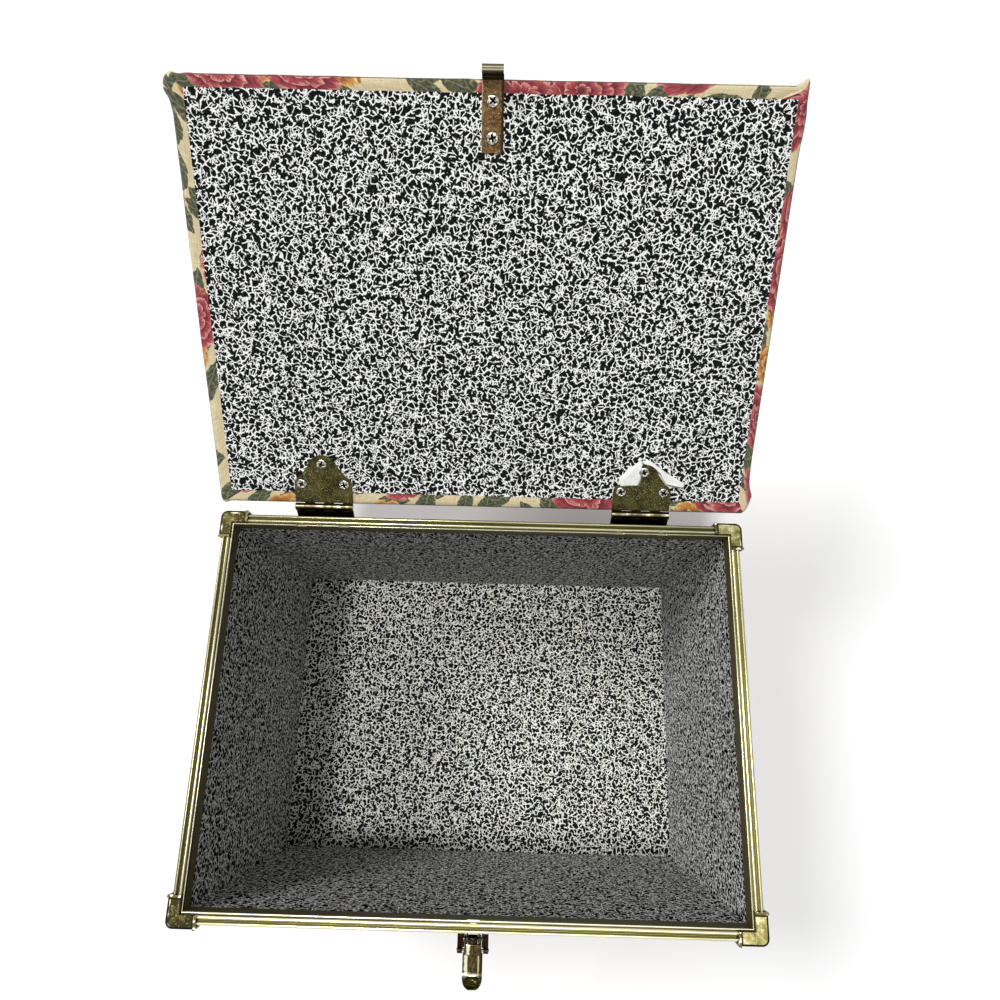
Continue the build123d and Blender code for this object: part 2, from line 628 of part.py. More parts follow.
def main():
    """Build every piece and write it."""
    os.makedirs("parts", exist_ok=True)

    save("bottom_board", box_core(BASE_SHEET + COVER, WALL_Z))
    save("base_sheet", base_sheet())
    save("outer_cover", outer_cover())
    save("wall_lining", wall_lining())
    save("floor_lining", floor_lining())
    for name, piece in {**wall_boards(), **rim_mouldings(), **corner_caps()}.items():
        save(name, piece)
    nail = pan_screw(NAIL_LENGTH, NAIL_HEAD, SMALL_HEAD_HEIGHT, NAIL_SHANK)
    save_group("rim_cap_nails", [place * nail for place in CAP_NAILS])

    for side, x, first_is_box in (("left", HINGE_X[0], True), ("right", HINGE_X[1], False)):
        save(f"hinge_leaf_box_{side}", box_leaf(x, first_is_box))
        save(f"hinge_leaf_lid_{side}", lid_open(lid_leaf(x, first_is_box)))
        reach = LEAF_HALF_WIDTH + PIN_PROUD
        save(f"hinge_pin_{side}", rod_x(PIN, x - reach, x + reach, AXIS_Y, AXIS_Z))
    save_group("hinge_screws_box", [p * pan_screw(BACK_SCREW_LENGTH) for p in BACK_SCREWS])
    save_group("hinge_screws_lid", [lid_open(p * pan_screw(LID_SCREW_LENGTH)) for p in LID_SCREWS])

    for name, piece in lid_pieces().items():
        save(name, lid_open(piece))
    save("catch_strip", lid_open(catch_strip()))
    save_group("catch_screws", [lid_open(p * pan_screw(LID_SCREW_LENGTH)) for p in CATCH_SCREWS])

    save("latch_base", latch_base())
    tack = pan_screw(TACK_LENGTH, TACK_HEAD, SMALL_HEAD_HEIGHT, TACK_SHANK)
    save_group("latch_tacks", [place * tack for place in TACKS])
    head = rod_x(PIVOT_HEAD, *PIVOT_REACH)
    pivot = rod_x(PIVOT_PIN, -PIVOT_REACH[1], PIVOT_REACH[1]) + head + head.mirror(Plane.YZ)
    save("latch_pivot_pin", latch_place(pivot))

    droop = Rot(LEVER_DROOP, 0, 0)
    loop_at = droop * Pos(0, -PIVOT_TO_LOOP, 0)
    save("latch_lever", latch_place(droop * latch_lever()))
    save("latch_loop_pin", latch_place(loop_at * rod_x(LOOP_PIN, -LOOP_PIN_REACH, LOOP_PIN_REACH)))
    loop_frame = Pos(*loop_at.position) * Rot(LOOP_RISE, 0, 0)
    save("latch_loop", latch_place(loop_frame * latch_loop()))

    out, down = hooked_bar()
    print("hinge axis", round(AXIS_Y, 3), round(AXIS_Z, 3))
    print("lever pivot", round(LATCH_X, 3), round(-COVER_Y - PIVOT_OUT, 3), round(RIM_TOP - PIVOT_DOWN, 3))
    loop_y = -COVER_Y - PIVOT_OUT + loop_at.position.Y
    print("loop pivot", round(loop_y, 3), round(RIM_TOP - PIVOT_DOWN + loop_at.position.Z, 3))
    print("bar in the hook: out", round(out, 3), "down", round(down, 3), "rim top", round(RIM_TOP, 3))


main()
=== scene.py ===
# %% [markdown]
# # A fabric storage trunk
# The CAD model is the fixed frame: boards, rim, hinges, latch. This lesson dresses it. It makes the printed
# cotton, the paper lining, the padded lid, the screws and the worn brass, and then lights and frames them.
# Lengths are written in millimetres and turned into Blender's metres by the value mm. Blender's vector noise takes
# its seed from the clock unless it is given one, so it gets a fixed one here, and every run makes the same shapes.

import math
from functools import partial

import bmesh
import bpy
import numpy as np
from mathutils import Matrix, Vector
from mathutils import noise as field


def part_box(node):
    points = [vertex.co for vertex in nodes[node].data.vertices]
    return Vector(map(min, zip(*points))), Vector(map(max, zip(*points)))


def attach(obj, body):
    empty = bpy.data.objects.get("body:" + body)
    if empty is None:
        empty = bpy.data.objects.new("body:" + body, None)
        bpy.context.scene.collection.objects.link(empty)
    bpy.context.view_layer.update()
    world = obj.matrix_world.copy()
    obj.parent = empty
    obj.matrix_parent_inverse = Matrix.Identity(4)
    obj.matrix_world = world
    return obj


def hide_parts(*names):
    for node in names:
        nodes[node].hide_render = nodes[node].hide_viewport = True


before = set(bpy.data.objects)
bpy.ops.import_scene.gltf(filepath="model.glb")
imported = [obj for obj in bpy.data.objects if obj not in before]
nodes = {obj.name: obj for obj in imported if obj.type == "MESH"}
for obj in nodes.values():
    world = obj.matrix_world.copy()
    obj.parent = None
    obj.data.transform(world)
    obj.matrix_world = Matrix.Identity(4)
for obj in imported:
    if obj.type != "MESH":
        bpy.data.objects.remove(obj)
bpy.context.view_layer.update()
mm = 0.001
NOISE_SEED = 1
field.seed_set(NOISE_SEED)


def new_object(name, data):
    """An object for a mesh, camera or lamp, put in the scene."""
    made = bpy.data.objects.new(name, data)
    bpy.context.scene.collection.objects.link(made)
    return made


# %% [markdown]
# The camera is a phone held over the trunk: a 26 mm lens looking almost straight down, tipped towards the
# hinges. It goes in first, so that every later look can be judged in its view.

# %% Camera
CAMERA_PLACE = Vector((16.39, 1.70, 690.03)) * mm
CAMERA_RIGHT = Vector((0.9996, 0.0267, -0.0006))
CAMERA_UP = Vector((-0.0255, 0.9602, 0.2783))
CAMERA_BACK = Vector((0.0080, -0.2782, 0.9605))
LENS = 25.99

camera = new_object("camera", bpy.data.cameras.new("camera"))
camera.data.lens = LENS
camera.data.sensor_width = 36.0
camera.data.clip_start = 0.02
turn = Matrix((CAMERA_RIGHT, CAMERA_UP, CAMERA_BACK)).transposed()
camera.matrix_world = Matrix.Translation(CAMERA_PLACE) @ turn.to_4x4()
bpy.context.scene.camera = camera
bpy.context.scene.view_settings.view_transform = "Standard"
print("camera at", [round(v, 3) for v in CAMERA_PLACE])

# %% [markdown]
# Sizes that the soft pieces share with the CAD model. The lid is described closed, by x across and s forward
# of the hinge axis, and swung open by its angle, just as it was in the CAD source.

# %% Shared sizes and the lid's swing
BOX_HALF = (171.9, 122.65)
INSIDE_HALF = (165.9, 116.65)
FLOOR, WALL_FOOT, WALL_TOP = 6.4, 6.0, 218.8
AXIS_Y, AXIS_Z = 130.05, 219.9
LID_FACE = 222.2
LID_OPEN = math.radians(142.67)
HINGES, LATCH = (-106.2, 107.2), 3.6


def swing(point):
    """A point of the closed lid, in millimetres, in its open place and in metres."""
    x, y, z = point
    dy, dz = y - AXIS_Y, z - AXIS_Z
    c, s = math.cos(LID_OPEN), math.sin(LID_OPEN)
    return Vector((x, AXIS_Y + dy * c + dz * s, AXIS_Z - dy * s + dz * c)) * mm


def on_lid(x, s, above=0.0):
    """A place on the lid's inner face, above it by so much, in metres."""
    return swing((x, AXIS_Y - s, LID_FACE - above))


lining_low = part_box("lid_lining")[0]
print("lining's corner", [round(v, 4) for v in on_lid(-168.9, 9.65)], "CAD", [round(v, 4) for v in lining_low])

# %% [markdown]
# Materials are written as node trees. These helpers keep each recipe to a few lines: write_in chooses the tree,
# put adds a node to it, feed joins or sets a socket, calc does arithmetic, blend mixes colours and rise turns a
# value into a soft step. The commonest kinds of arithmetic have short names of their own.

# %% Helpers for shader nodes
def write_in(tree):
    """Choose the tree that the helpers below write in."""
    global page
    page = tree
    return tree


def feed(socket, value):
    if isinstance(value, bpy.types.NodeSocket):
        page.links.new(value, socket)
    else:
        socket.default_value = value


def put(kind, inputs=None, **settings):
    node = page.nodes.new(kind)
    for name, value in settings.items():
        setattr(node, name, value)
    for name, value in (inputs or {}).items():
        feed(node.inputs[name], value)
    return node


def calc(operation, a, b=0.0, c=0.0, clamp=False):
    return put("ShaderNodeMath", {0: a, 1: b, 2: c}, operation=operation, use_clamp=clamp).outputs[0]


add, subtract, multiply, divide = (partial(calc, kind) for kind in ("ADD", "SUBTRACT", "MULTIPLY", "DIVIDE"))
multiply_add, maximum, absolute = (partial(calc, kind) for kind in ("MULTIPLY_ADD", "MAXIMUM", "ABSOLUTE"))


def split(vector):
    return put("ShaderNodeSeparateXYZ", {0: vector}).outputs


def join(x=0.0, y=0.0, z=0.0):
    return put("ShaderNodeCombineXYZ", {0: x, 1: y, 2: z}).outputs[0]


def grey(value):
    return put("ShaderNodeCombineColor", {0: value, 1: value, 2: value}).outputs[0]


def distance(x, y):
    """How far a point lies that is x away one way and y the other."""
    return calc("SQRT", add(multiply(x, x), multiply(y, y)))


def choose(share, a, b):
    """The number a where share is 0, b where it is 1, and a mix between."""
    return put("ShaderNodeMix", {0: share, 2: a, 3: b}).outputs[0]


def move(operation, a, b):
    return put("ShaderNodeVectorMath", {0: a, 1: b}, operation=operation).outputs[0]


def grow(vector, amount):
    node = put("ShaderNodeVectorMath", {0: vector}, operation="SCALE")
    feed(node.inputs["Scale"], amount)
    return node.outputs[0]


def blend(share, a, b, kind="MIX"):
    node = put("ShaderNodeMix", data_type="RGBA", blend_type=kind)
    for socket, value in zip((0, 6, 7), (share, a, b)):
        feed(node.inputs[socket], value)
    return node.outputs[2]


def rise(value, low, high, start=0.0, end=1.0):
    """A soft step from start to end as the value goes from low to high."""
    node = put("ShaderNodeMapRange", interpolation_type="SMOOTHSTEP")
    for socket, each in zip(("Value", "From Min", "From Max", "To Min", "To Max"), (value, low, high, start, end)):
        feed(node.inputs[socket], each)
    return node.outputs[0]


def cloud(vector, scale, detail=2.0, roughness=0.5, dimensions="3D", output=0):
    """Soft noise in space, as a value from 0 to 1 or as three of them in a colour."""
    inputs = {"Vector": vector, "Scale": scale, "Detail": detail, "Roughness": roughness}
    return put("ShaderNodeTexNoise", inputs, noise_dimensions=dimensions).outputs[output]


def flat_cloud(*place, **more):
    """The same noise in the plane, for what is printed on paper or cloth."""
    return cloud(*place, dimensions="2D", **more)


def srgb(red, green, blue):
    """A colour given as the eye reads it on a screen, 0 to 255, as Blender's linear colour."""
    def linear(v):
        v = v / 255
        return v / 12.92 if v <= 0.04045 else ((v + 0.055) / 1.055) ** 2.4
    return (linear(red), linear(green), linear(blue), 1.0)


def name_inputs(tree, inputs):
    for label, kind, value in inputs:
        tree.interface.new_socket(label, in_out="INPUT", socket_type="NodeSocket" + kind).default_value = value


def new_group(name, inputs, outputs):
    tree = write_in(bpy.data.node_groups.new(name, "ShaderNodeTree"))
    name_inputs(tree, inputs)
    for label, kind in outputs:
        tree.interface.new_socket(label, in_out="OUTPUT", socket_type="NodeSocket" + kind)
    return tree, tree.nodes.new("NodeGroupInput").outputs, tree.nodes.new("NodeGroupOutput").inputs


def use_group(group, **inputs):
    node = put("ShaderNodeGroup", node_tree=group)
    for name, value in inputs.items():
        feed(node.inputs[name.replace("_", " ")], value)
    return node.outputs


def new_material(name, **sockets):
    """A material with one Principled shader, whose fixed values are set on its own sockets."""
    material = bpy.data.materials.new(name)
    material.use_nodes = True
    shader = write_in(material.node_tree).nodes["Principled BSDF"]
    for label, value in sockets.items():
        shader.inputs[label.replace("_", " ")].default_value = value
    return material, shader.inputs


def bump(height, distance, strength=1.0, normal=None):
    node = put("ShaderNodeBump", {"Height": height, "Distance": distance, "Strength": strength})
    if normal is not None:
        feed(node.inputs["Normal"], normal)
    return node.outputs[0]


print("helpers ready")

# %% [markdown]
# The lining is paper printed with white veins round charcoal pebbles, an old bookbinder's pattern. Cell noise
# gives it: the distance to the edge between two cells is small along the veins. Three sets of cells are laid over
# each other, for the large pebbles, runs of tiny ones and a few spurs, and a warp makes their edges ragged.

# %% Shader group: pebble print
def make_pebble_print():
    tree, given, out = new_group(
        "pebble print",
        [("Vector", "Vector", (0, 0, 0)), ("Cell", "Float", 3.7 * mm), ("Vein", "Float", 0.68 * mm)],
        [("Ink", "Float"), ("Mottle", "Float")],
    )
    place = grow(given["Vector"], divide(1.0, given["Cell"]))

    def wandering(vector, scale, detail, amount):
        shift = move("SUBTRACT", flat_cloud(vector, scale, detail, output="Color"), (0.5, 0.5, 0.5))
        return move("ADD", vector, grow(shift, amount))

    warped = wandering(wandering(place, 0.55, 1, 1.0), 1.5, 1, 0.42)
    half = divide(multiply(given["Vein"], 0.5), given["Cell"])

    def veins(scale, width, vector):
        node = put("ShaderNodeTexVoronoi", {"Vector": vector, "Scale": scale},
                   voronoi_dimensions="2D", feature="DISTANCE_TO_EDGE")
        return subtract(width, divide(node.outputs["Distance"], scale))

    alive = rise(flat_cloud(place, 1.25, 0.5), 0.33, 0.46, -0.5, 1.0)
    main = veins(1.0, multiply(half, alive), warped)
    tracks = rise(flat_cloud(place, 0.6, 1.0), 0.56, 0.63, -0.3, 0.62)
    other = wandering(move("ADD", place, (13.7, 5.1, 0.0)), 1.6, 1, 0.5)
    fine = veins(1.6, multiply(half, tracks), other)
    spurs_alive = rise(flat_cloud(place, 1.05, 0.5), 0.55, 0.63, -0.5, 0.9)
    spurs = veins(1.15, multiply(half, spurs_alive), move("ADD", warped, (31.3, 17.9, 0.0)))
    joined = calc("SMOOTH_MAX", calc("SMOOTH_MAX", main, fine, 0.05), spurs, 0.05)
    soft = multiply(half, 0.3)
    feed(out["Ink"], rise(joined, soft, multiply(soft, -1.0)))
    feed(out["Mottle"], flat_cloud(place, 3.0, 3))
    return tree


pebble_print = make_pebble_print()
print("group", pebble_print.name)

# %% [markdown]
# The cotton is a coarse plain weave. Two sets of fine stripes at right angles give the threads, a checker
# lifts one set over the other, and noise drawn out along each thread makes it thick and thin.

# %% Shader group: plain weave
def make_plain_weave():
    tree, given, out = new_group(
        "plain weave",
        [("Vector", "Vector", (0, 0, 0)), ("Thread", "Float", 0.55 * mm)],
        [("Height", "Float"), ("Shade", "Float")],
    )
    place = grow(given["Vector"], divide(1.0, given["Thread"]))
    sep = split(place)
    wide = put("ShaderNodeMapping", {"Vector": place, "Scale": (0.06, 0.9, 1.0)}).outputs[0]
    tall = put("ShaderNodeMapping", {"Vector": place, "Scale": (0.9, 0.06, 1.0)}).outputs[0]
    slub_across = flat_cloud(wide, 1.0, 2)
    slub_up = flat_cloud(tall, 1.0, 2)

    def ridge(coordinate, slub):
        phase = add(coordinate, multiply(slub, 0.5))
        return absolute(calc("SINE", multiply(phase, math.pi)))

    over = calc("SINE", multiply(sep[0], math.pi))
    under = calc("SINE", multiply(sep[1], math.pi))
    checker = rise(multiply(over, under), -0.4, 0.4)
    feed(out["Height"], choose(checker, ridge(sep[0], slub_up), ridge(sep[1], slub_across)))
    feed(out["Shade"], subtract(add(slub_across, slub_up), 1.0))
    return tree


plain_weave = make_plain_weave()
print("group", plain_weave.name)

# %% [markdown]
# The print on the cotton is a garden pattern: full roses, small gold flowers and dark leaves on cream. Each
# motif is drawn once in polar or turned coordinates about the middle of a noise cell, so every cell gets its
# own flower at its own angle and size. The layers are then laid over each other.

# %% Shader helpers: one motif in each noise cell
def motif_cells(vector, size, seed, scatter=0.75):
    """Where a point lies from its cell's middle, as a vector, with the cell's random colour."""
    shifted = move("ADD", vector, (seed * 0.731, seed * 0.417, 0.0))
    node = put("ShaderNodeTexVoronoi", {"Vector": shifted, "Scale": 1 / size, "Randomness": scatter},
               voronoi_dimensions="2D")
    local = move("SUBTRACT", shifted, node.outputs["Position"])
    chance = put("ShaderNodeSeparateColor", {0: node.outputs["Color"]}).outputs
    turned = put("ShaderNodeVectorRotate", {"Vector": local}, rotation_type="Z_AXIS")
    feed(turned.inputs["Angle"], multiply(chance[0], 2 * math.pi))
    sep = split(turned.outputs[0])
    return sep[0], sep[1], chance


def petals(angle, count, depth):
    """1 at the middle of each petal and 1 - depth between two."""
    wave = absolute(calc("COSINE", multiply(angle, count / 2)))
    return multiply_add(calc("POWER", wave, 0.6), depth, 1 - depth)


print("motif helpers ready")

# %% [markdown]
# Leaves and flowers are each one function that paints its motif over the ground it is given. Two sizes of leaves go
# down first, then the small gold flowers, and the roses last, so that they lie on top.

# %% Shader group: garden print
CREAM = srgb(231, 214, 172)
LEAF_DARK, LEAF_MID, LEAF_PALE = srgb(52, 55, 38), srgb(88, 92, 62), srgb(140, 140, 104)
ROSE_DEEP, ROSE_MID, ROSE_PALE = srgb(112, 30, 40), srgb(172, 66, 72), srgb(222, 150, 142)
GOLD_DEEP, GOLD_MID, GOLD_PALE = srgb(150, 82, 28), srgb(206, 142, 62), srgb(238, 204, 130)


def lay_leaves(ground, vector, size, seed, length, width):
    x, y, chance = motif_cells(vector, size, seed, 0.9)
    along = divide(x, multiply_add(chance[1], 0.4 * length, 0.8 * length))
    bow = subtract(1.0, multiply(along, along))
    across = divide(absolute(y), width)
    inside = rise(subtract(bow, across), 0.0, 0.08)
    ribs = calc("SINE", multiply_add(along, 26.0, multiply(across, -7.0)))
    brush = multiply_add(flat_cloud(vector, 520.0, 4, 0.65), 1.5, -0.25)
    tone = add(multiply(ribs, 0.16), multiply_add(across, 0.35, brush))
    leaf = blend(rise(tone, 0.35, 0.75), LEAF_DARK, LEAF_MID)
    leaf = blend(rise(tone, 0.8, 1.0), leaf, LEAF_PALE)
    leaf = blend(rise(across, 0.10, 0.04, 0.0, 0.7), leaf, LEAF_PALE)
    return blend(inside, ground, leaf)


def lay_flowers(ground, vector, size, seed, radius, colours, rings, count):
    """Rings of petals, each ring turned against the last. A petal is dark at its root and pale at its rim."""
    x, y, chance = motif_cells(vector, size, seed)
    angle = calc("ARCTAN2", y, x)
    reach = multiply_add(chance[1], 0.35 * radius, 0.75 * radius)
    out = divide(distance(x, y), reach)
    sway = flat_cloud(vector, 1.6 / radius, 1)
    ringed = multiply(calc("POWER", out, 0.8), rings)
    ringed = multiply_add(subtract(sway, 0.5), 1.1, ringed)
    ring = calc("FLOOR", ringed)
    turned = multiply_add(ring, 2.4, multiply_add(sway, 1.6, angle))
    wave = petals(turned, count, 0.5)
    inside = rise(divide(out, multiply_add(wave, 0.3, 0.7)), 1.0, 0.96)
    local = divide(calc("FRACT", ringed), wave)
    brush = flat_cloud(join(multiply(turned, 11.0), multiply(out, 3.0)), 1.0, 4, 0.65)
    tone = add(multiply(local, 0.62), multiply_add(brush, 1.1, -0.5))
    tone = multiply(tone, rise(local, 1.16, 1.0))
    deep, mid, pale, light = colours
    flower = blend(rise(tone, 0.06, 0.36), deep, mid)
    flower = blend(rise(tone, 0.42, 0.68), flower, pale)
    flower = blend(rise(tone, 0.68, 0.84), flower, light)
    flower = blend(rise(out, 0.14, 0.06), flower, deep)
    return blend(inside, ground, flower)


def make_garden_print():
    tree, given, out = new_group("garden print", [("Vector", "Vector", (0, 0, 0))], [("Color", "Color")])
    wobble = move("SUBTRACT", flat_cloud(given["Vector"], 170.0, 2, output="Color"), (0.5, 0.5, 0.5))
    place = move("ADD", given["Vector"], grow(wobble, 3.2 * mm))
    colour = lay_leaves(CREAM, place, 33 * mm, 1.3, 15 * mm, 7 * mm)
    colour = lay_leaves(colour, place, 27 * mm, 5.1, 12 * mm, 5.5 * mm)
    gold = (GOLD_DEEP, GOLD_MID, GOLD_PALE, srgb(250, 228, 168))
    colour = lay_flowers(colour, place, 52 * mm, 2.7, 12 * mm, gold, 2.0, 6)
    rose = (ROSE_DEEP, ROSE_MID, ROSE_PALE, srgb(244, 206, 196))
    colour = lay_flowers(colour, place, 58 * mm, 8.9, 25 * mm, rose, 4.0, 7)
    feed(out["Color"], colour)
    return tree


garden_print = make_garden_print()
print("group", garden_print.name, len(garden_print.nodes), "nodes")

# %% [markdown]
# The brass is old: dark olive patina with the metal showing through where hands rub it, fine scratches in
# every direction and small pits. The group gives masks only, and each metal part mixes its own colours.

# %% Shader group: old brass
def make_old_brass():
    tree, given, out = new_group(
        "old brass",
        [("Vector", "Vector", (0, 0, 0)), ("Patch", "Float", 6 * mm)],
        [("Worn", "Float"), ("Scratch", "Float"), ("Pit", "Float"), ("Streak", "Float")],
    )
    place = grow(given["Vector"], divide(1.0, given["Patch"]))
    worn = cloud(place, 1.0, 5, 0.62)
    feed(out["Worn"], rise(worn, 0.36, 0.68))

    def scratches(angle, scale, seed):
        turned = put("ShaderNodeMapping", {"Vector": place, "Location": (seed, seed, 0),
                                           "Rotation": (angle, angle * 0.7, angle),
                                           "Scale": (scale, scale * 0.035, scale)}).outputs[0]
        return rise(cloud(turned, 1.0, 1), 0.665, 0.72)

    first = maximum(scratches(0.5, 16, 3), scratches(2.1, 20, 7))
    feed(out["Scratch"], maximum(first, scratches(1.3, 24, 11)))
    feed(out["Pit"], rise(cloud(place, 9.0, 2), 0.62, 0.74))
    feed(out["Streak"], cloud(move("MULTIPLY", place, (1.0, 4.0, 4.0)), 1.0, 4))
    return tree


old_brass = make_old_brass()
print("group", old_brass.name)

# %% [markdown]
# Now the materials. A print follows the surface, so paper and cotton take their place from the piece's own map.
# Board, wadding and metal take theirs from the frame, where worn places and painted light can be laid by left and
# right, high and low.

# %% Materials: papers and boards
def on_map():
    return put("ShaderNodeTexCoord").outputs["UV"]


def in_frame():
    return put("ShaderNodeTexCoord").outputs["Object"]


PAPER_WHITE, PAPER_INK, PAPER_INK_PALE = srgb(255, 255, 252), srgb(17, 20, 20), srgb(36, 40, 39)


def make_lining_paper(name, white, vein):
    material, shader = new_material(name, Roughness=0.9, Specular_IOR_Level=0.0)
    place = on_map()
    print_ = use_group(pebble_print, Vector=place, Vein=vein)
    ink = blend(rise(print_["Mottle"], 0.35, 0.7), PAPER_INK, PAPER_INK_PALE)
    feed(shader["Base Color"], blend(print_["Ink"], white, ink))
    fibres = flat_cloud(place, 900.0, 3)
    waves = flat_cloud(place, 28.0, 2)
    fine = bump(fibres, 0.03 * mm, 0.5)
    feed(shader["Normal"], bump(waves, 0.5 * mm, 0.5, fine))
    return material


def make_plain(name, dark, pale, scale, roughness):
    """Card, board, wadding or pasted sheet: two tones in fine noise, and a fibrous surface."""
    material, shader = new_material(name, Roughness=roughness)
    grain = cloud(in_frame(), scale, 4, 0.6)
    feed(shader["Base Color"], blend(rise(grain, 0.35, 0.65), dark, pale))
    feed(shader["Normal"], bump(grain, 0.08 * mm, 0.6))
    return material


lining_paper = make_lining_paper("pebble_paper", PAPER_WHITE, 0.68 * mm)
wall_pebbles = make_lining_paper("wall_pebble_paper", PAPER_WHITE, 0.74 * mm)
# The floor's paper has a greyer white, a painted shade for the dimmer light at the bottom of the box.
shaded_floor_pebbles = make_lining_paper("shaded_floor_pebble_paper", srgb(236, 236, 228), 0.7 * mm)
torn_paper = make_plain("torn_paper", srgb(230, 231, 226), srgb(252, 252, 249), 900.0, 0.85)
chipboard = make_plain("chipboard", srgb(96, 82, 64), srgb(150, 130, 102), 700.0, 0.9)
black_sheet = make_plain("black_base_sheet", srgb(20, 20, 20), srgb(38, 37, 35), 1300.0, 0.8)
white_wadding = make_plain("white_wadding", srgb(205, 203, 196), srgb(240, 238, 232), 300.0, 0.95)
print("papers and boards", [m.name for m in (lining_paper, torn_paper, chipboard, black_sheet, white_wadding)])

# %% [markdown]
# The cotton puts the two groups together: the garden print gives the colour, the weave darkens it between the
# threads as painted shade and raises it a little, and a touch of sheen makes it look like cloth at a flat angle.

# %% Material: printed cotton
def make_printed_cotton():
    material, shader = new_material("printed_cotton", Roughness=0.85, Sheen_Weight=0.25, Sheen_Roughness=0.5)
    place = on_map()
    printed = use_group(garden_print, Vector=place)["Color"]
    weave = use_group(plain_weave, Vector=place)
    light = multiply_add(weave["Shade"], 0.55, 0.86)
    light = multiply_add(weave["Height"], 0.16, light)
    feed(shader["Base Color"], blend(1.0, printed, grey(light), "MULTIPLY"))
    feed(shader["Normal"], bump(weave["Height"], 0.12 * mm, 0.8))
    return material


printed_cotton = make_printed_cotton()
print("material", printed_cotton.name)

# %% [markdown]
# The moulding is brass strip drawn over three beads. Its crowns are painted cream and white as painted highlights,
# and the two grooves are darker. So the finish is laid across the strip by a colour ramp, from its outer edge
# inwards, and noise drawn out along each side makes the bands wander. Below the beads the outer skirt is streaked
# along its length and stained, and the inner one is a dull olive brown.

# %% Helpers: colour ramp, and how far in from the trunk's outline a point lies
def ramp(value, stops):
    node = put("ShaderNodeValToRGB", {0: value})
    band = node.color_ramp
    band.elements.remove(band.elements[1])
    band.elements[0].position, band.elements[0].color = stops[0]
    for at, colour in stops[1:]:
        band.elements.new(at).color = colour
    return node.outputs[0]


def inwards(place, half_x, half_y):
    """The place split up, and its distances in from the sides and from the front and back."""
    sep = split(place)
    from_x = subtract(half_x * mm, absolute(sep[0]))
    from_y = subtract(half_y * mm, absolute(sep[1]))
    return sep, from_x, from_y


print("ramp and inwards ready")

# %% [markdown]
# Each band of the ramp is a place across the strip, from 0 at its outer edge to 1 at its inner edge, with its colour.
# Each side then gets its own tone of painted light: the front and the right side are painted brighter, and the
# left side and the back, which lies in the lid's shade, darker.

# %% Material: reeded rim
RIM_HALF, RIM_WIDE = (172.5, 123.25), 7.2
# Painted highlights on the three bead crowns, and darker bands in the two grooves between them.
RIM_BANDS = [
    (0.00, srgb(226, 222, 186)), (0.07, srgb(244, 241, 214)), (0.15, srgb(230, 224, 178)), (0.22, srgb(150, 143, 96)),
    (0.33, srgb(126, 120, 76)), (0.46, srgb(150, 142, 92)), (0.56, srgb(206, 198, 142)), (0.63, srgb(242, 237, 200)),
    (0.70, srgb(232, 225, 180)), (0.765, srgb(98, 86, 60)), (0.82, srgb(90, 78, 56)), (0.875, srgb(240, 236, 210)),
    (0.96, srgb(234, 229, 196)), (1.00, srgb(60, 50, 30)),
]


def make_rim_brass():
    material, shader = new_material("rim_brass", Specular_IOR_Level=0.2)
    place = in_frame()
    sep, from_x, from_y = inwards(place, *RIM_HALF)
    across = calc("MINIMUM", from_x, from_y)
    on_side = calc("LESS_THAN", from_x, from_y)
    along = choose(on_side, sep[0], sep[1])

    def drawn(per_metre, over_metre, seed, detail=2):
        stretched = join(multiply(along, per_metre), multiply(across, over_metre), multiply_add(on_side, 7.3, seed))
        return cloud(stretched, 1.0, detail)

    at = divide(across, RIM_WIDE * mm)
    at = multiply_add(subtract(drawn(16, 500, 1.0), 0.5), 0.14, at, clamp=True)
    colour = ramp(at, RIM_BANDS)
    # Painted light by side: the right side and the back are drawn towards an even olive, and the left side and the
    # back are painted darker than the front and the right side.
    even = choose(on_side, rise(sep[1], -0.1, 0.1, 0.0, 0.4), rise(sep[0], -0.1, 0.1, 0.1, 0.72))
    colour = blend(even, colour, srgb(158, 152, 106))
    tone = multiply_add(drawn(30, 1500, 5.0, 4), 0.5, 0.72, clamp=True)
    tone = multiply(tone, rise(drawn(11, 30, 9.0), 0.25, 0.6, 0.78, 1.0))
    lit_left_to_right = rise(sep[0], -0.1, 0.1, 0.36, 0.8)
    lit_back_to_front = rise(sep[1], 0.1, -0.1, 0.48, 0.88)
    tone = multiply(tone, choose(on_side, lit_back_to_front, lit_left_to_right))
    colour = blend(1.0, colour, grey(tone), "MULTIPLY")
    low = rise(sep[2], 219.3 * mm, 218.9 * mm)
    inside = rise(across, 3.0 * mm, 4.0 * mm)
    lengthwise = join(multiply(along, 26.0), multiply(sep[2], 1100.0))
    streaks = rise(cloud(lengthwise, 1.0, 3), 0.35, 0.65)
    outer = blend(streaks, srgb(100, 90, 50), srgb(150, 140, 88))
    stains = rise(cloud(place, 170.0, 3), 0.5, 0.68, 0.0, 0.7)
    outer = blend(stains, outer, srgb(66, 57, 31))
    skirt = blend(inside, outer, srgb(84, 76, 46))
    feed(shader["Base Color"], blend(low, colour, skirt))
    spots = rise(cloud(place, 900.0, 2), 0.66, 0.74)
    dull = multiply(low, inside)
    feed(shader["Metallic"], multiply_add(dull, -0.8, 1.0))
    feed(shader["Roughness"], multiply_add(maximum(spots, dull), 0.35, 0.2))
    feed(shader["Normal"], bump(drawn(25, 2500, 3.0), 0.04 * mm, 0.5))
    return material


rim_brass = make_rim_brass()
print("material", rim_brass.name, len(RIM_BANDS), "bands")

# %% [markdown]
# The stamped caps are darker and smoother than the rim. Their rolled outer edge is painted nearly black as painted
# shade, with a thin painted highlight just inside it. The right caps are painted lighter than the left ones, as
# painted light over their wear, the fold over the corner has a painted highlight, most of all on the right ones, a
# line of painted shade lies before each lipped end, and the lipped ends are dull with a few painted glints.

# %% Material: corner caps
CAP_HALF, CAP_BEND = (174.5, 125.25), 4.5


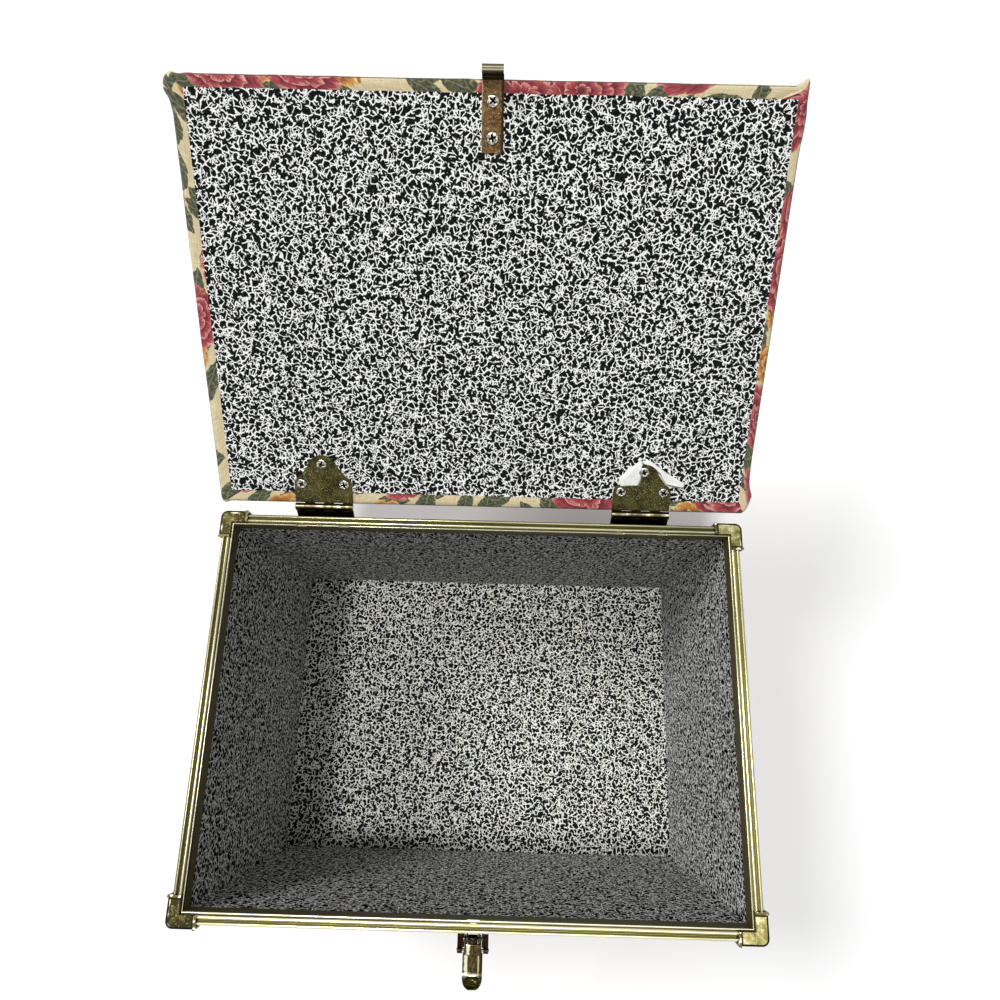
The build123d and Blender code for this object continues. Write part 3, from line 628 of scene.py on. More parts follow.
def make_cap_brass():
    material, shader = new_material("cap_brass", Metallic=1.0)
    place = in_frame()
    masks = use_group(old_brass, Vector=place, Patch=9 * mm)
    sep, from_x, from_y = inwards(place, *CAP_HALF)
    over = [maximum(subtract(CAP_BEND * mm, each), 0.0) for each in (from_x, from_y)]
    edge = subtract(CAP_BEND * mm, distance(*over))
    to_end = maximum(from_x, from_y)
    fold = absolute(subtract(from_x, from_y))
    # Wear, with the right caps painted lighter than the left ones as painted light.
    wear_and_light = multiply_add(masks["Worn"], 0.55, rise(sep[0], -0.1, 0.1, -0.26, 0.3))
    # A painted highlight along the fold over the corner, strongest on the right.
    fold_highlight = multiply(rise(fold, 2.6 * mm, 0.4 * mm), rise(sep[0], -0.1, 0.15, 0.12, 0.7))
    wear_and_light = maximum(wear_and_light, fold_highlight)
    wear_and_light = multiply_add(masks["Scratch"], 0.15, wear_and_light, clamp=True)
    colour = ramp(wear_and_light, [(0.0, srgb(44, 40, 22)), (0.4, srgb(100, 94, 54)), (0.75, srgb(150, 142, 92)),
                                 (1.0, srgb(226, 218, 178))])
    chance = cloud(place, 130.0, 2)
    fine = cloud(place, 700.0, 4, 0.7)
    colour = blend(rise(fine, 0.56, 0.72, 0.0, 0.6), colour, srgb(178, 170, 122))
    colour = blend(rise(fine, 0.44, 0.32, 0.0, 0.5), colour, srgb(26, 23, 13))
    # Painted shade: the rolled outer edge nearly black.
    colour = blend(rise(edge, 1.5 * mm, 1.1 * mm), colour, srgb(22, 19, 12))
    # A thin painted highlight just inside the rolled edge.
    line = multiply(rise(edge, 1.1 * mm, 1.5 * mm), rise(edge, 2.1 * mm, 1.6 * mm))
    line = multiply(line, rise(chance, 0.5, 0.62, 0.0, 0.8))
    colour = blend(line, colour, srgb(222, 216, 182))
    # A line of painted shade before each lipped end.
    colour = blend(rise(to_end, 15.2 * mm, 15.8 * mm), colour, srgb(34, 29, 17))
    lip = rise(to_end, 16.4 * mm, 16.8 * mm)
    colour = blend(lip, colour, srgb(84, 77, 48))
    # A few painted glints on the lipped ends.
    glint = rise(cloud(place, 420.0, 2), 0.54, 0.64)
    colour = blend(multiply(lip, glint), colour, srgb(244, 240, 216))
    low = rise(sep[2], 220.6 * mm, 219.8 * mm)
    skirt = blend(masks["Worn"], srgb(30, 26, 15), srgb(82, 75, 44))
    feed(shader["Base Color"], blend(low, colour, skirt))
    feed(shader["Roughness"], multiply_add(masks["Pit"], 0.2, 0.24))
    feed(shader["Normal"], bump(masks["Streak"], 0.05 * mm, 0.5))
    return material


cap_brass = make_cap_brass()
print("material", cap_brass.name)

# %% [markdown]
# The hinge leaves have kept their antique finish: dark olive with fine pale flecks and a few long scratches. The
# rolled knuckles are painted near black as painted shade, with a painted highlight along their crests that noise
# breaks up, brightest on the box leaf's knuckles that show through the slots. The same tree makes both leaves, with
# the box leaf's crank painted in shadow colours down to the wall.

# %% Material: hinge leaves
def make_hinge_brass(name, on_box):
    material, shader = new_material(name, Metallic=1.0)
    place = in_frame()
    masks = use_group(old_brass, Vector=place, Patch=8 * mm)
    sep = split(place)
    colour = blend(masks["Worn"], srgb(40, 37, 17), srgb(76, 71, 35))
    flecks = rise(cloud(place, 1100.0, 4, 0.75), 0.53, 0.68, 0.0, 0.95)
    more = rise(cloud(place, 60.0, 2), 0.36, 0.6, 0.25, 1.0)
    colour = blend(multiply(flecks, more), colour, srgb(176, 168, 126))
    colour = blend(multiply(masks["Scratch"], 0.6), colour, srgb(148, 142, 96))
    colour = blend(multiply(masks["Pit"], 0.6), colour, srgb(16, 14, 8))
    back = subtract(sep[1], AXIS_Y * mm)
    down = subtract(sep[2], AXIS_Z * mm)
    knuckle = rise(distance(back, down), 2.6 * mm, 2.4 * mm)
    if on_box:
        # The crank is painted in shadow colours: near black by the wall, olive by the knuckles.
        crank = blend(rise(back, -4.4 * mm, -3.4 * mm), srgb(24, 21, 12), srgb(66, 58, 34))
        colour = blend(rise(sep[2], 206 * mm, 211 * mm), colour, crank)
    # Painted shade: the knuckles near black.
    colour = blend(knuckle, colour, srgb(34, 30, 17))
    # A painted highlight along each knuckle's crest, broken up by noise, brightest on the box leaf.
    off_crest = absolute(multiply_add(down, 0.27, multiply(back, 0.963)))
    crest_highlight = multiply(knuckle, rise(off_crest, 0.95 * mm, 0.5 * mm))
    crest_highlight = multiply(crest_highlight, rise(down, 0.2 * mm, 0.8 * mm))
    wear_and_light = rise(cloud(place, 260.0, 2), 0.46, 0.62, 0.25, 0.9)
    crest_highlight = multiply(crest_highlight, wear_and_light)
    colour = blend(crest_highlight, colour, srgb(214, 206, 170) if on_box else srgb(160, 152, 112))
    feed(shader["Base Color"], colour)
    feed(shader["Roughness"], multiply_add(flecks, 0.2, 0.3))
    feed(shader["Normal"], bump(masks["Streak"], 0.05 * mm, 0.5))
    return material


hinge_brass = make_hinge_brass("hinge_brass", False)
box_leaf_brass = make_hinge_brass("box_leaf_brass", True)
print("materials", hinge_brass.name, box_leaf_brass.name)

# %% [markdown]
# The catch strip is bronze brown and dull where it lies on the lid, with a painted highlight along its left edge,
# and darker along its right edge. Where it is curled into the hook it turns olive grey, with bands of painted shade
# and painted highlight for its bends, one of them a bright line. Its tree measures how far up the hook a point lies.

# %% Material: catch strip
HOOK_UP = (0.0, 0.686, 0.727)
HOOK_FOOT, HOOK_TALL = 499.6, 9.0
# Across the hook: painted shade in its bends and painted highlights on its curl, one of them a bright line.
HOOK_LIGHT_BANDS = [
    (0.00, srgb(84, 66, 42)), (0.08, srgb(26, 22, 15)), (0.19, srgb(24, 21, 15)), (0.235, srgb(120, 112, 84)),
    (0.28, srgb(110, 102, 76)), (0.31, srgb(18, 16, 11)), (0.41, srgb(22, 20, 14)), (0.45, srgb(96, 92, 68)),
    (0.57, srgb(104, 100, 76)), (0.60, srgb(206, 200, 170)), (0.635, srgb(190, 184, 152)), (0.67, srgb(98, 95, 76)),
    (0.96, srgb(84, 81, 64)),
]


def make_catch_bronze():
    material, shader = new_material("catch_bronze", Metallic=1.0)
    place = in_frame()
    masks = use_group(old_brass, Vector=place, Patch=7 * mm)
    sep = split(place)
    colour = blend(masks["Worn"], srgb(72, 50, 30), srgb(112, 82, 52))
    colour = blend(rise(masks["Streak"], 0.4, 0.65, 0.0, 0.35), colour, srgb(104, 90, 58))
    flecks = rise(cloud(place, 1000.0, 4, 0.75), 0.54, 0.7, 0.0, 0.9)
    colour = blend(flecks, colour, srgb(186, 168, 124))
    colour = blend(rise(cloud(place, 420.0, 3), 0.42, 0.3, 0.0, 0.7), colour, srgb(46, 34, 20))
    aside = subtract(sep[0], LATCH * mm)
    colour = blend(rise(aside, 4.3 * mm, 5.3 * mm), colour, srgb(46, 36, 24))
    # A painted highlight along the strip's left edge.
    colour = blend(rise(aside, -5.7 * mm, -6.0 * mm), colour, srgb(168, 158, 122))
    up_hook = put("ShaderNodeVectorMath", {0: place, 1: HOOK_UP}, operation="DOT_PRODUCT").outputs["Value"]
    at = divide(subtract(up_hook, HOOK_FOOT * mm), HOOK_TALL * mm, clamp=True)
    at = multiply_add(subtract(masks["Streak"], 0.5), 0.06, at, clamp=True)
    on_hook = rise(up_hook, (HOOK_FOOT + 0.3) * mm, (HOOK_FOOT + 0.7) * mm)
    colour = blend(on_hook, colour, ramp(at, HOOK_LIGHT_BANDS))
    feed(shader["Base Color"], colour)
    feed(shader["Roughness"], multiply_add(flecks, 0.15, 0.33))
    feed(shader["Normal"], bump(masks["Streak"], 0.05 * mm, 0.5))
    return material


catch_bronze = make_catch_bronze()
print("material", catch_bronze.name)

# %% [markdown]
# The small metal parts share one recipe: a dark patina that lets some of the metal through, brighter scratches and
# darker pits. The screws also have painted shade in their cross slots and round the edge of each head, which their
# Geometry Nodes tree stores as an attribute.

# %% Materials: loop, base plate, screws and pins
def make_metal(name, patina, metal, roughness, patch, bare, scratch, shade_attribute=None):
    """Patina over metal. bare is how much of the metal shows, scratch how bright its scratches are, and the last
    argument names a stored value that darkens the colour as painted shade.
    """
    material, shader = new_material(name, Metallic=1.0)
    masks = use_group(old_brass, Vector=in_frame(), Patch=patch * mm)
    share = multiply(masks["Worn"], bare)
    share = multiply_add(masks["Scratch"], scratch, share, clamp=True)
    colour = blend(share, patina, metal)
    pitted = tuple(0.3 * v for v in patina[:3]) + (1.0,)
    colour = blend(multiply(masks["Pit"], 0.6), colour, pitted)
    # Painted shade: a stored value darkens the colour in the screws' slots and round their heads.
    if shade_attribute is not None:
        recess_shade = put("ShaderNodeAttribute", attribute_name=shade_attribute).outputs["Fac"]
        colour = blend(recess_shade, colour, srgb(14, 13, 10))
    feed(shader["Base Color"], colour)
    feed(shader["Roughness"], multiply_add(masks["Pit"], 0.25, roughness, clamp=True))
    feed(shader["Normal"], bump(masks["Streak"], 0.04 * mm, 0.5))
    return material


# The base plate and its tacks are kept very dark: patina, and painted shade where they sit under the rim.
plate_brass = make_metal("plate_brass", srgb(26, 22, 13), srgb(92, 84, 52), 0.4, 5.0, 0.4, 0.4)
loop_bronze = make_metal("loop_bronze", srgb(22, 15, 11), srgb(84, 64, 44), 0.26, 3.0, 0.3, 0.35)
screw_nickel = make_metal("screw_nickel", srgb(66, 61, 46), srgb(240, 238, 226), 0.18, 1.2, 0.95, 0.3, "recess_shade")
pin_steel = make_metal("pin_steel", srgb(70, 66, 52), srgb(190, 186, 170), 0.3, 2.0, 0.5, 0.2)
print("metals ready")

# %% [markdown]
# The lever is the shiniest part, and its light is painted: a long painted white reflection down its left side, brown
# in the middle, a painted highlight on the ridge on the right with painted shade beyond it, a painted highlight on
# the lip, and an olive bowl at the thumb end, dark as painted shade. Its map holds the place across (-1 to 1) and the
# millimetres from the pivot, so that each of these is one band in that map.

# %% Material: lever
LEVER_LIP, LEVER_BOWL = 19.6, 21.3


def make_lever_brass():
    material, shader = new_material("lever_brass", Metallic=1.0)
    across, length = split(on_map())[:2]
    streak = flat_cloud(join(multiply(across, 5.0), multiply(length, 0.4)), 1.0, 4, 0.6)
    speck = flat_cloud(join(multiply(across, 12.0), multiply(length, 2.0)), 1.0, 3, 0.6)
    tone = multiply_add(speck, 0.5, multiply(streak, 0.6))
    colour = ramp(tone, [(0.36, srgb(40, 32, 18)), (0.56, srgb(78, 66, 40)), (0.72, srgb(126, 112, 76)),
                               (0.86, srgb(190, 180, 140))])

    def band(colour, value, middle, half, soft, paint, amount=1.0):
        share = rise(absolute(subtract(value, middle)), half + soft, half)
        return blend(multiply(share, amount), colour, paint)

    on_root = rise(length, 8.7, 8.2)
    middle = multiply_add(on_root, 0.2, -0.66)
    middle = multiply_add(subtract(streak, 0.5), 0.26, middle)
    # A painted white reflection down the left side.
    colour = band(colour, across, middle, 0.1, 0.12, srgb(240, 236, 212))
    on_body = rise(length, 8.2, 9.0)
    # A painted highlight on the ridge on the right.
    ridge = band(colour, across, 0.6, 0.03, 0.06, srgb(206, 198, 160))
    colour = blend(on_body, colour, ridge)
    # Painted shade on the right side, and a duller left edge.
    colour = blend(rise(across, 0.74, 0.84), colour, srgb(48, 42, 26))
    colour = blend(rise(across, -0.88, -0.95), colour, srgb(92, 88, 68))
    # Painted shade lines where the root meets the body and before the lip.
    colour = band(colour, length, 8.4, 0.2, 0.3, srgb(60, 54, 36), 0.7)
    colour = band(colour, length, LEVER_LIP - 1.5, 0.15, 0.3, srgb(44, 38, 22), 0.8)
    # A painted highlight on the lip.
    wavy = multiply_add(subtract(speck, 0.5), 1.6, length)
    colour = band(colour, wavy, LEVER_LIP, 0.6, 0.5, srgb(246, 243, 222), rise(across, 0.6, 0.3, 0.15, 1.0))
    # The thumb bowl dark as painted shade, with a pale painted highlight at its end.
    bowl = blend(rise(speck, 0.45, 0.7), srgb(30, 29, 14), srgb(84, 78, 42))
    bowl = blend(rise(length, 26.5, 26.8), bowl, srgb(200, 196, 172))
    colour = blend(rise(length, LEVER_LIP + 0.9, LEVER_LIP + 1.4), colour, bowl)
    # Painted shade on the underside and on the pieces mapped beyond it.
    under = rise(absolute(across), 1.01, 1.04)
    feed(shader["Base Color"], blend(under, colour, srgb(40, 34, 20)))
    feed(shader["Roughness"], multiply_add(speck, 0.14, 0.1))
    return material


lever_brass = make_lever_brass()
print("material", lever_brass.name)

# %% [markdown]
# Every solid of the CAD model gets its finish here, also those that a new piece will stand in for, so that none is
# left plain.

# %% Give the CAD nodes their finish
FINISHES = {
    chipboard: ("bottom_board", "wall_front", "wall_back", "wall_left", "wall_right", "lid_board"),
    black_sheet: ("base_sheet",),
    white_wadding: ("lid_padding",),
    lining_paper: ("wall_lining", "floor_lining", "lid_lining"),
    printed_cotton: ("outer_cover", "lid_cover"),
    rim_brass: ("rim_front", "rim_back", "rim_left", "rim_right"),
    cap_brass: ("rim_cap_front_left", "rim_cap_front_right", "rim_cap_back_left", "rim_cap_back_right",
                "rim_cap_nails"),
    hinge_brass: ("hinge_leaf_lid_left", "hinge_leaf_lid_right"),
    box_leaf_brass: ("hinge_leaf_box_left", "hinge_leaf_box_right"),
    catch_bronze: ("catch_strip",),
    loop_bronze: ("latch_loop",),
    plate_brass: ("latch_base", "latch_lever", "latch_tacks"),
    screw_nickel: ("hinge_screws_box", "hinge_screws_lid", "catch_screws"),
    pin_steel: ("hinge_pin_left", "hinge_pin_right", "latch_pivot_pin", "latch_loop_pin"),
}
for material, names in FINISHES.items():
    for name in names:
        nodes[name].data.materials.clear()
        nodes[name].data.materials.append(material)
print("finished nodes", sum(len(names) for names in FINISHES.values()), "of", len(nodes))

# %% [markdown]
# The new pieces are lists of points and faces. make_piece turns them into a mesh object, with its map and material,
# and face_outwards gives every face the same sense, so that light falls on the right side.

# %% Helpers: make a piece
def make_piece(name, verts, faces, material, uvs=None, smooth=True):
    """A mesh object at the origin. uvs holds one pair for each corner of each face, in metres."""
    mesh = bpy.data.meshes.new(name)
    mesh.from_pydata([tuple(v) for v in verts], [], faces)
    if uvs is not None:
        layer = mesh.uv_layers.new(name="cloth")
        layer.data.foreach_set("uv", np.array(uvs, np.float32).ravel())
    mesh.materials.append(material)
    mesh.polygons.foreach_set("use_smooth", [smooth] * len(faces))
    mesh.update()
    return new_object(name, mesh)


def face_outwards(piece):
    shape = bmesh.new()
    shape.from_mesh(piece.data)
    bmesh.ops.recalc_face_normals(shape, faces=shape.faces)
    shape.to_mesh(piece.data)
    shape.free()


def numbered_on(faces, first):
    """The same faces for points that come after the first so many."""
    return [tuple(i + first for i in face) for face in faces]


print("piece helpers ready")

# %% [markdown]
# The paper inside the box is four wall papers and a floor paper. Each is a thin closed slab with its own map,
# so that the print lies flat on every wall. The wall papers turn the corners, so they are one piece.

# %% Wall and floor paper
LINING = 0.4


def slab(corner, along, up, depth, u0, v0):
    """A thin slab from a corner, two edges and a depth, all vectors in millimetres, mapped in metres."""
    base = [corner, corner + along, corner + along + up, corner + up]
    verts = [p * mm for p in base] + [(p + depth) * mm for p in base]
    faces = [(0, 1, 2, 3), (7, 6, 5, 4), (4, 5, 1, 0), (5, 6, 2, 1), (6, 7, 3, 2), (7, 4, 0, 3)]
    w, h = along.length, up.length
    flat = [(u0, v0), (u0 + w, v0), (u0 + w, v0 + h), (u0, v0 + h)]
    uvs = [(flat[i % 4][0] * mm, flat[i % 4][1] * mm) for face in faces for i in face]
    return verts, faces, uvs


def join_slabs(name, parts, material):
    verts, faces, uvs = [], [], []
    for v, f, m in parts:
        faces += numbered_on(f, len(verts))
        verts += v
        uvs += m
    return make_piece(name, verts, faces, material, uvs, smooth=False)


def make_wall_paper():
    x, y = INSIDE_HALF
    height = Vector((0, 0, WALL_TOP - WALL_FOOT))
    corners = [Vector(spot + (WALL_FOOT,)) for spot in ((-x, y), (x, y), (x, -y), (-x, -y))]
    outwards = [Vector(way) * LINING for way in ((0, 1, 0), (1, 0, 0), (0, -1, 0), (-1, 0, 0))]
    parts, start = [], 0.0
    for i in range(4):
        along = corners[(i + 1) % 4] - corners[i]
        parts.append(slab(corners[i], along, height, outwards[i], start, 400.0))
        start += along.length
    return join_slabs("wall_paper", parts, wall_pebbles)


wall_paper = make_wall_paper()
x, y = INSIDE_HALF
floor_slab = slab(Vector((-x, -y, FLOOR)), Vector((2 * x, 0, 0)), Vector((0, 2 * y, 0)), Vector((0, 0, -LINING)),
                  37.0, 61.0)
floor_paper = join_slabs("floor_paper", [floor_slab], shaded_floor_pebbles)
for piece, node in ((wall_paper, "wall_lining"), (floor_paper, "floor_lining")):
    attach(piece, "trunk")
    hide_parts(node)
print("papers", len(wall_paper.data.polygons), len(floor_paper.data.polygons))

# %% [markdown]
# The trunk's cotton is one strip glued round the four walls and turned under the base. Its ends meet at the back,
# where the lap lifts it a little. It is a grid bent round the box: columns run round it, rows run down and under.
# Each thread's place on the cut cloth is kept as its map, so the print follows the cloth round the corners.

# %% Outer cloth: bend a grid round the walls
CLOTH = 0.55
CORNER = 2.5
UNDER = 18.0


def round_walls(count_x=90, count_y=64, count_corner=5):
    """Points round the walls with their outward directions and their distance along the cloth."""
    bx, by = BOX_HALF
    sides = [((-bx + CORNER, -by), (bx - CORNER, -by), count_x), ((bx, -by + CORNER), (bx, by - CORNER), count_y),
             ((bx - CORNER, by), (-bx + CORNER, by), count_x), ((-bx, by - CORNER), (-bx, -by + CORNER), count_y)]
    points = []
    for turn_at, (start, end, count) in enumerate(sides):
        start, end = Vector(start), Vector(end)
        out = Matrix.Rotation(math.radians(90 * turn_at - 90), 2) @ Vector((1, 0))
        points += [(start.lerp(end, i / count), out) for i in range(count + 1)]
        centre = end - out * CORNER
        for i in range(1, count_corner):
            way = Matrix.Rotation(math.radians(90 * i / count_corner), 2) @ out
            points.append((centre + way * CORNER, way))
    middle = next(i for i, (p, way) in enumerate(points) if way.y > 0.99 and p.x < 30.0)
    points = points[middle:] + points[:middle]
    return points


def make_outer_cloth():
    points = round_walls()
    rows = [(0.0, WALL_TOP)] + [(0.0, z) for z in np.linspace(212, 3.0, 54)]
    rows += [(-0.25, 1.9), (-0.8, 1.05), (-1.6, 0.65), (-3.0, 0.6), (-UNDER, 0.6)]
    count, verts, faces, uvs, place = len(points), [], [], [], []
    along = 0.0
    for i in range(count + 1):
        point, way = points[i % count]
        if i:
            along += (point - points[i - 1][0]).length
        lap = 0.35 * max(0.0, 1 - i / 3)
        down = 0.0
        for k, (step, z) in enumerate(rows):
            if k:
                down += math.hypot(step - rows[k - 1][0], z - rows[k - 1][1])
            swell = 0.18 * field.noise(Vector((point.x, point.y, z)) * 0.03) if 6 < z < 205 else 0.0
            spot = point + way * (step + lap + swell - 0.02)
            verts.append(Vector((spot.x, spot.y, z)) * mm)
            place.append((along * mm, (WALL_TOP - down) * mm))
    tall = len(rows)
    for i in range(count):
        for k in range(tall - 1):
            face = (i * tall + k, i * tall + k + 1, (i + 1) * tall + k + 1, (i + 1) * tall + k)
            faces.append(face)
            uvs += [place[j] for j in face]
    return make_piece("outer_cloth", verts, faces, printed_cotton, uvs), along


outer_cloth, cloth_round = make_outer_cloth()
print("cloth round the walls", round(cloth_round, 1), "mm")

# %% [markdown]
# Solidify gives the grid its thickness, inwards. Then the cloth is fixed to the trunk's body, and the CAD cover that
# it stands for is hidden.

# %% Outer cloth: thickness, and what it stands for
thick = outer_cloth.modifiers.new("thickness", "SOLIDIFY")
thick.thickness = CLOTH * mm
thick.offset = -1.0
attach(outer_cloth, "trunk")
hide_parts("outer_cover")

# %% [markdown]
# The lid is a board with wadding on its outside. Its cotton is drawn over the wadding, round the edges and onto
# the inner face, where it ends under the lining paper. One closed piece stands for cloth and wadding. It is a grid
# over the crown with rings that go down the side, under the edge and along the border, so the print can follow it.

# %% Lid cloth: sizes
LID_LEFT, LID_RIGHT, LID_REAR, LID_FRONT = -177.1, 177.9, 1.05, 255.75
PAPER_LEFT, PAPER_RIGHT, PAPER_REAR, PAPER_FRONT = -168.9, 172.3, 9.65, 248.55
LID_ROUND = 3.0
BOARD_FACE, BOARD_TOP = 0.69, 5.7
SIDE = [(5.0, 10.8), (3.6, 10.55), (2.4, 9.9), (1.4, 9.0), (0.7, 7.9), (0.25, 6.7), (0.05, 5.5), (0.0, 4.3),
        (0.0, 3.2), (0.1, 2.3), (0.35, 1.5), (0.75, 0.85), (1.3, 0.4), (2.0, 0.14)]
BORDER = [0.1, 0.22, 0.34, 0.46, 0.58, 0.68, 0.78, 0.9, 1.0]
TUCK, BORDER_WIDE = 2.0, 9.5
CROWN, CROWN_FULL = 4.6, 2.6
COLUMNS, ROWS = 116, 84


def spread(step, count):
    """From -1 to 1 in even steps, but closer together towards both ends, where the cloth creases."""
    t = 2 * step / count - 1
    return 0.25 * t + 0.75 * math.sin(math.pi * t / 2)


def lid_rectangle(a, b, inset, corner):
    """A point of the lid's outline, from -1 to 1 each way, drawn in by inset and rounded at its corners."""
    half_x, half_s = (LID_RIGHT - LID_LEFT) / 2 - inset, (LID_FRONT - LID_REAR) / 2 - inset
    p = Vector((a * half_x, b * half_s))
    core = Vector((half_x - corner, half_s - corner))
    over = Vector((max(abs(p.x) - core.x, 0.0), max(abs(p.y) - core.y, 0.0)))
    if over.x > 0 and over.y > 0:
        over = over * (max(over) / over.length)
        p = Vector((math.copysign(core.x + over.x, p.x), math.copysign(core.y + over.y, p.y)))
    return p + Vector(((LID_LEFT + LID_RIGHT) / 2, (LID_REAR + LID_FRONT) / 2))


def under_paper(a, b):
    """Where the cloth ends under the paper. At two corners the fold was laid askew."""
    x = (PAPER_LEFT + PAPER_RIGHT) / 2 + a * ((PAPER_RIGHT - PAPER_LEFT) / 2 - TUCK)
    s = (PAPER_REAR + PAPER_FRONT) / 2 + b * ((PAPER_FRONT - PAPER_REAR) / 2 - TUCK)
    x -= 13.0 * max(0.0, 1 - (1 - a) / 0.14) * max(0.0, 1 - (1 - b) / 0.14)
    x += 9.0 * max(0.0, 1 - (1 + a) / 0.12) * max(0.0, 1 - (1 + b) / 0.12)
    return Vector((x, s))


print("lid", LID_RIGHT - LID_LEFT, "by", LID_FRONT - LID_REAR, "mm")

# %% [markdown]
# The corners are what tells this lid from a neat drawing: the cotton bunches where it is folded. The front left
# corner bulges, the front right one ends in a pointed ear, and the rear right one puffs out at the side. Each is a
# push on the cloth near one place, strongest there and fading with distance. Between the corners the border puffs
# a little, except where the hinges and the catch strip press it flat.

# %% Lid cloth: pushes at the corners
PUSHES = [
    # x, s, spread, push across, push forward
    (-177.1, 249.5, 5.0, -4.0, 0.0),
    (-173.5, 255.7, 4.0, 0.0, 0.8),
    (-171.0, 255.7, 1.2, 0.0, -1.0),
    (177.2, 256.2, 2.6, 0.9, 4.6),
    (177.9, 238.0, 8.0, 1.0, 0.0),
    (177.9, 12.0, 6.5, 3.6, 0.0),
    (176.5, 2.5, 3.5, -0.6, 0.4),
    (-176.5, 1.5, 3.2, 0.3, -1.6),
    (-177.1, 120.0, 60.0, -0.5, 0.0),
]
PRESSED = [(3.6, 252.0, 11.0), (-106.2, 4.0, 24.0), (107.2, 4.0, 24.0)]


def puff(x, s, inwards):
    """How far the border stands towards the box, never where metal presses it or over the corner caps."""
    amount = math.sin(math.pi * min(1.0, inwards / 0.72)) * (0.28 + 0.5 * field.noise(Vector((x, s, 3)) * 0.11))
    for px, ps, reach in PRESSED:
        if math.hypot(x - px, s - ps) < reach * 1.3:
            amount *= max(0.0, (math.hypot(x - px, s - ps) - reach) / (0.3 * reach))
    corner = max(abs(x) - 146.0, 0.0) / 12.0 * (max(abs(s - 128.4) - 96.0, 0.0) / 12.0)
    return max(0.0, amount) * max(0.0, 1 - corner)


PLEATED = [(169.0, 12.0, 11.0, 0.55), (-169.0, 246.0, 10.0, 0.45), (-168.0, 9.0, 8.0, 0.25), (170.0, 247.0, 8.0, 0.2)]


def pleats(x, s):
    """Small folds that fan out from the paper's corners, where the cotton is bunched."""
    total = 0.0
    for px, ps, reach, depth in PLEATED:
        away = math.hypot(x - px, s - ps)
        fan = math.sin(7.0 * math.atan2(s - ps, x - px) + 2.0 * field.noise(Vector((x, s, 5)) * 0.15))
        total += depth * fan * math.exp(-(away / reach) ** 2) * min(1.0, away / 3.0)
    return total


def pushed(x, s, above, folded=1.0):
    """Add the pushes to a point of the lid's edge, more at half its thickness than at the border."""
    share = max(0.0, 1 - abs(above - 2.5) / 9.0)
    dx = ds = 0.0
    for px, ps, spread_, across, forward in PUSHES:
        near = math.exp(-((x - px) ** 2 + (s - ps) ** 2) / (2 * spread_ ** 2))
        dx += across * near * share
        ds += forward * near * share
    edge = min(x - LID_LEFT, LID_RIGHT - x, s - LID_REAR, LID_FRONT - s)
    loose = 0.3 * max(0.0, 1 - edge / 3.0) * share
    wave = field.noise_vector(Vector((x, s, 7)) * 0.09) * loose
    fold = pleats(x, s) * folded * max(0.0, 1 - max(0.0, above - 2.0) / 7.0)
    out_x = math.copysign(1.0, x) * max(0.0, 1 - (177 - abs(x)) / 6)
    out_s = math.copysign(1.0, s - 128) * max(0.0, 1 - (127 - abs(s - 128)) / 6)
    stand = fold * share
    return x + dx + wave.x + stand * out_x, s + ds + wave.y + stand * out_s, above - max(0.0, fold) * 0.9


print("pushes", len(PUSHES))

# %% [markdown]
# Where two turned edges of cloth meet at a corner, one lies over the other. The lower one is sunk by half a
# millimetre beside the fold, and each keeps its own piece of the print, so the pattern breaks at the fold.

# %% Lid cloth: grid, side and border
class Cloth:
    """Vertices, faces and each face's map, collected while the cloth is laid."""

    def __init__(self):
        self.verts, self.faces, self.maps = [], [], []

    def add(self, x, s, above):
        self.verts.append(swing((x, AXIS_Y - s, LID_FACE + above)))
        return len(self.verts) - 1

    def quad(self, corners, places):
        self.faces.append(tuple(corners))
        self.maps += [(p[0] * mm, p[1] * mm) for p in places]


def border_sink(i, inwards):
    """The lower layer at each corner: the front and rear strips lie under the side strips there."""
    if i in (0, COLUMNS):
        return 0.0
    from_corner = (1 - abs(spread(i, COLUMNS))) * (LID_RIGHT - LID_LEFT) / 2
    return 0.46 * math.exp(-(from_corner / 7.0) ** 2) * min(1.0, 4 * inwards)


def ridge(i, j):
    """The folded edge of the upper layer stands up a little along each corner's fold."""
    steps = min(i, COLUMNS - i) + min(j, ROWS - j)
    return (0.75, 0.4, 0.1)[steps] if steps < 3 else 0.0


def clear_of_caps(x, s, above):
    """Over a corner cap the closed lid has a twentieth of a millimetre of room, and more beside it."""
    off_corner = abs(s - AXIS_Y)
    room = max(abs(x) - 175.9, off_corner - 126.6, 156.5 - abs(x), 107.5 - off_corner, 0.0)
    return x, s, max(above, -0.8 * room)


def lay_ring(cloth, loop, last, before, inset, above, away, inwards=None):
    """One more row of cloth joined to the last: down the side, or inwards along the border."""
    made = []
    for i, j in loop:
        a, b = spread(i, COLUMNS), spread(j, ROWS)
        p = lid_rectangle(a, b, inset, LID_ROUND)
        level = above
        if inwards is not None:
            p = p.lerp(under_paper(a, b), inwards)
            level = 0.1 + 0.26 * max(0.0, inwards - 0.8) / 0.2 - puff(p.x, p.y, inwards) + border_sink(i, inwards)
            level -= ridge(i, j) * max(0.0, min(1.0, 4.0 * (0.62 - inwards)))
        folded = 1.0 if inwards is None else max(0.0, min(1.0, 3.0 * (0.8 - inwards)))
        made.append(cloth.add(*clear_of_caps(*pushed(p.x, p.y, level, folded))))
    count = len(loop)
    for k in range(count):
        n = (k + 1) % count
        way = SIDE_WAYS[side_of(k)]
        places = [flat_place(loop[k], way, before), flat_place(loop[k], way, away),
                  flat_place(loop[n], way, away), flat_place(loop[n], way, before)]
        cloth.quad((last[k], made[k], made[n], last[n]), places)
    return made


SIDE_WAYS = [Vector((0, -1)), Vector((1, 0)), Vector((0, 1)), Vector((-1, 0))]


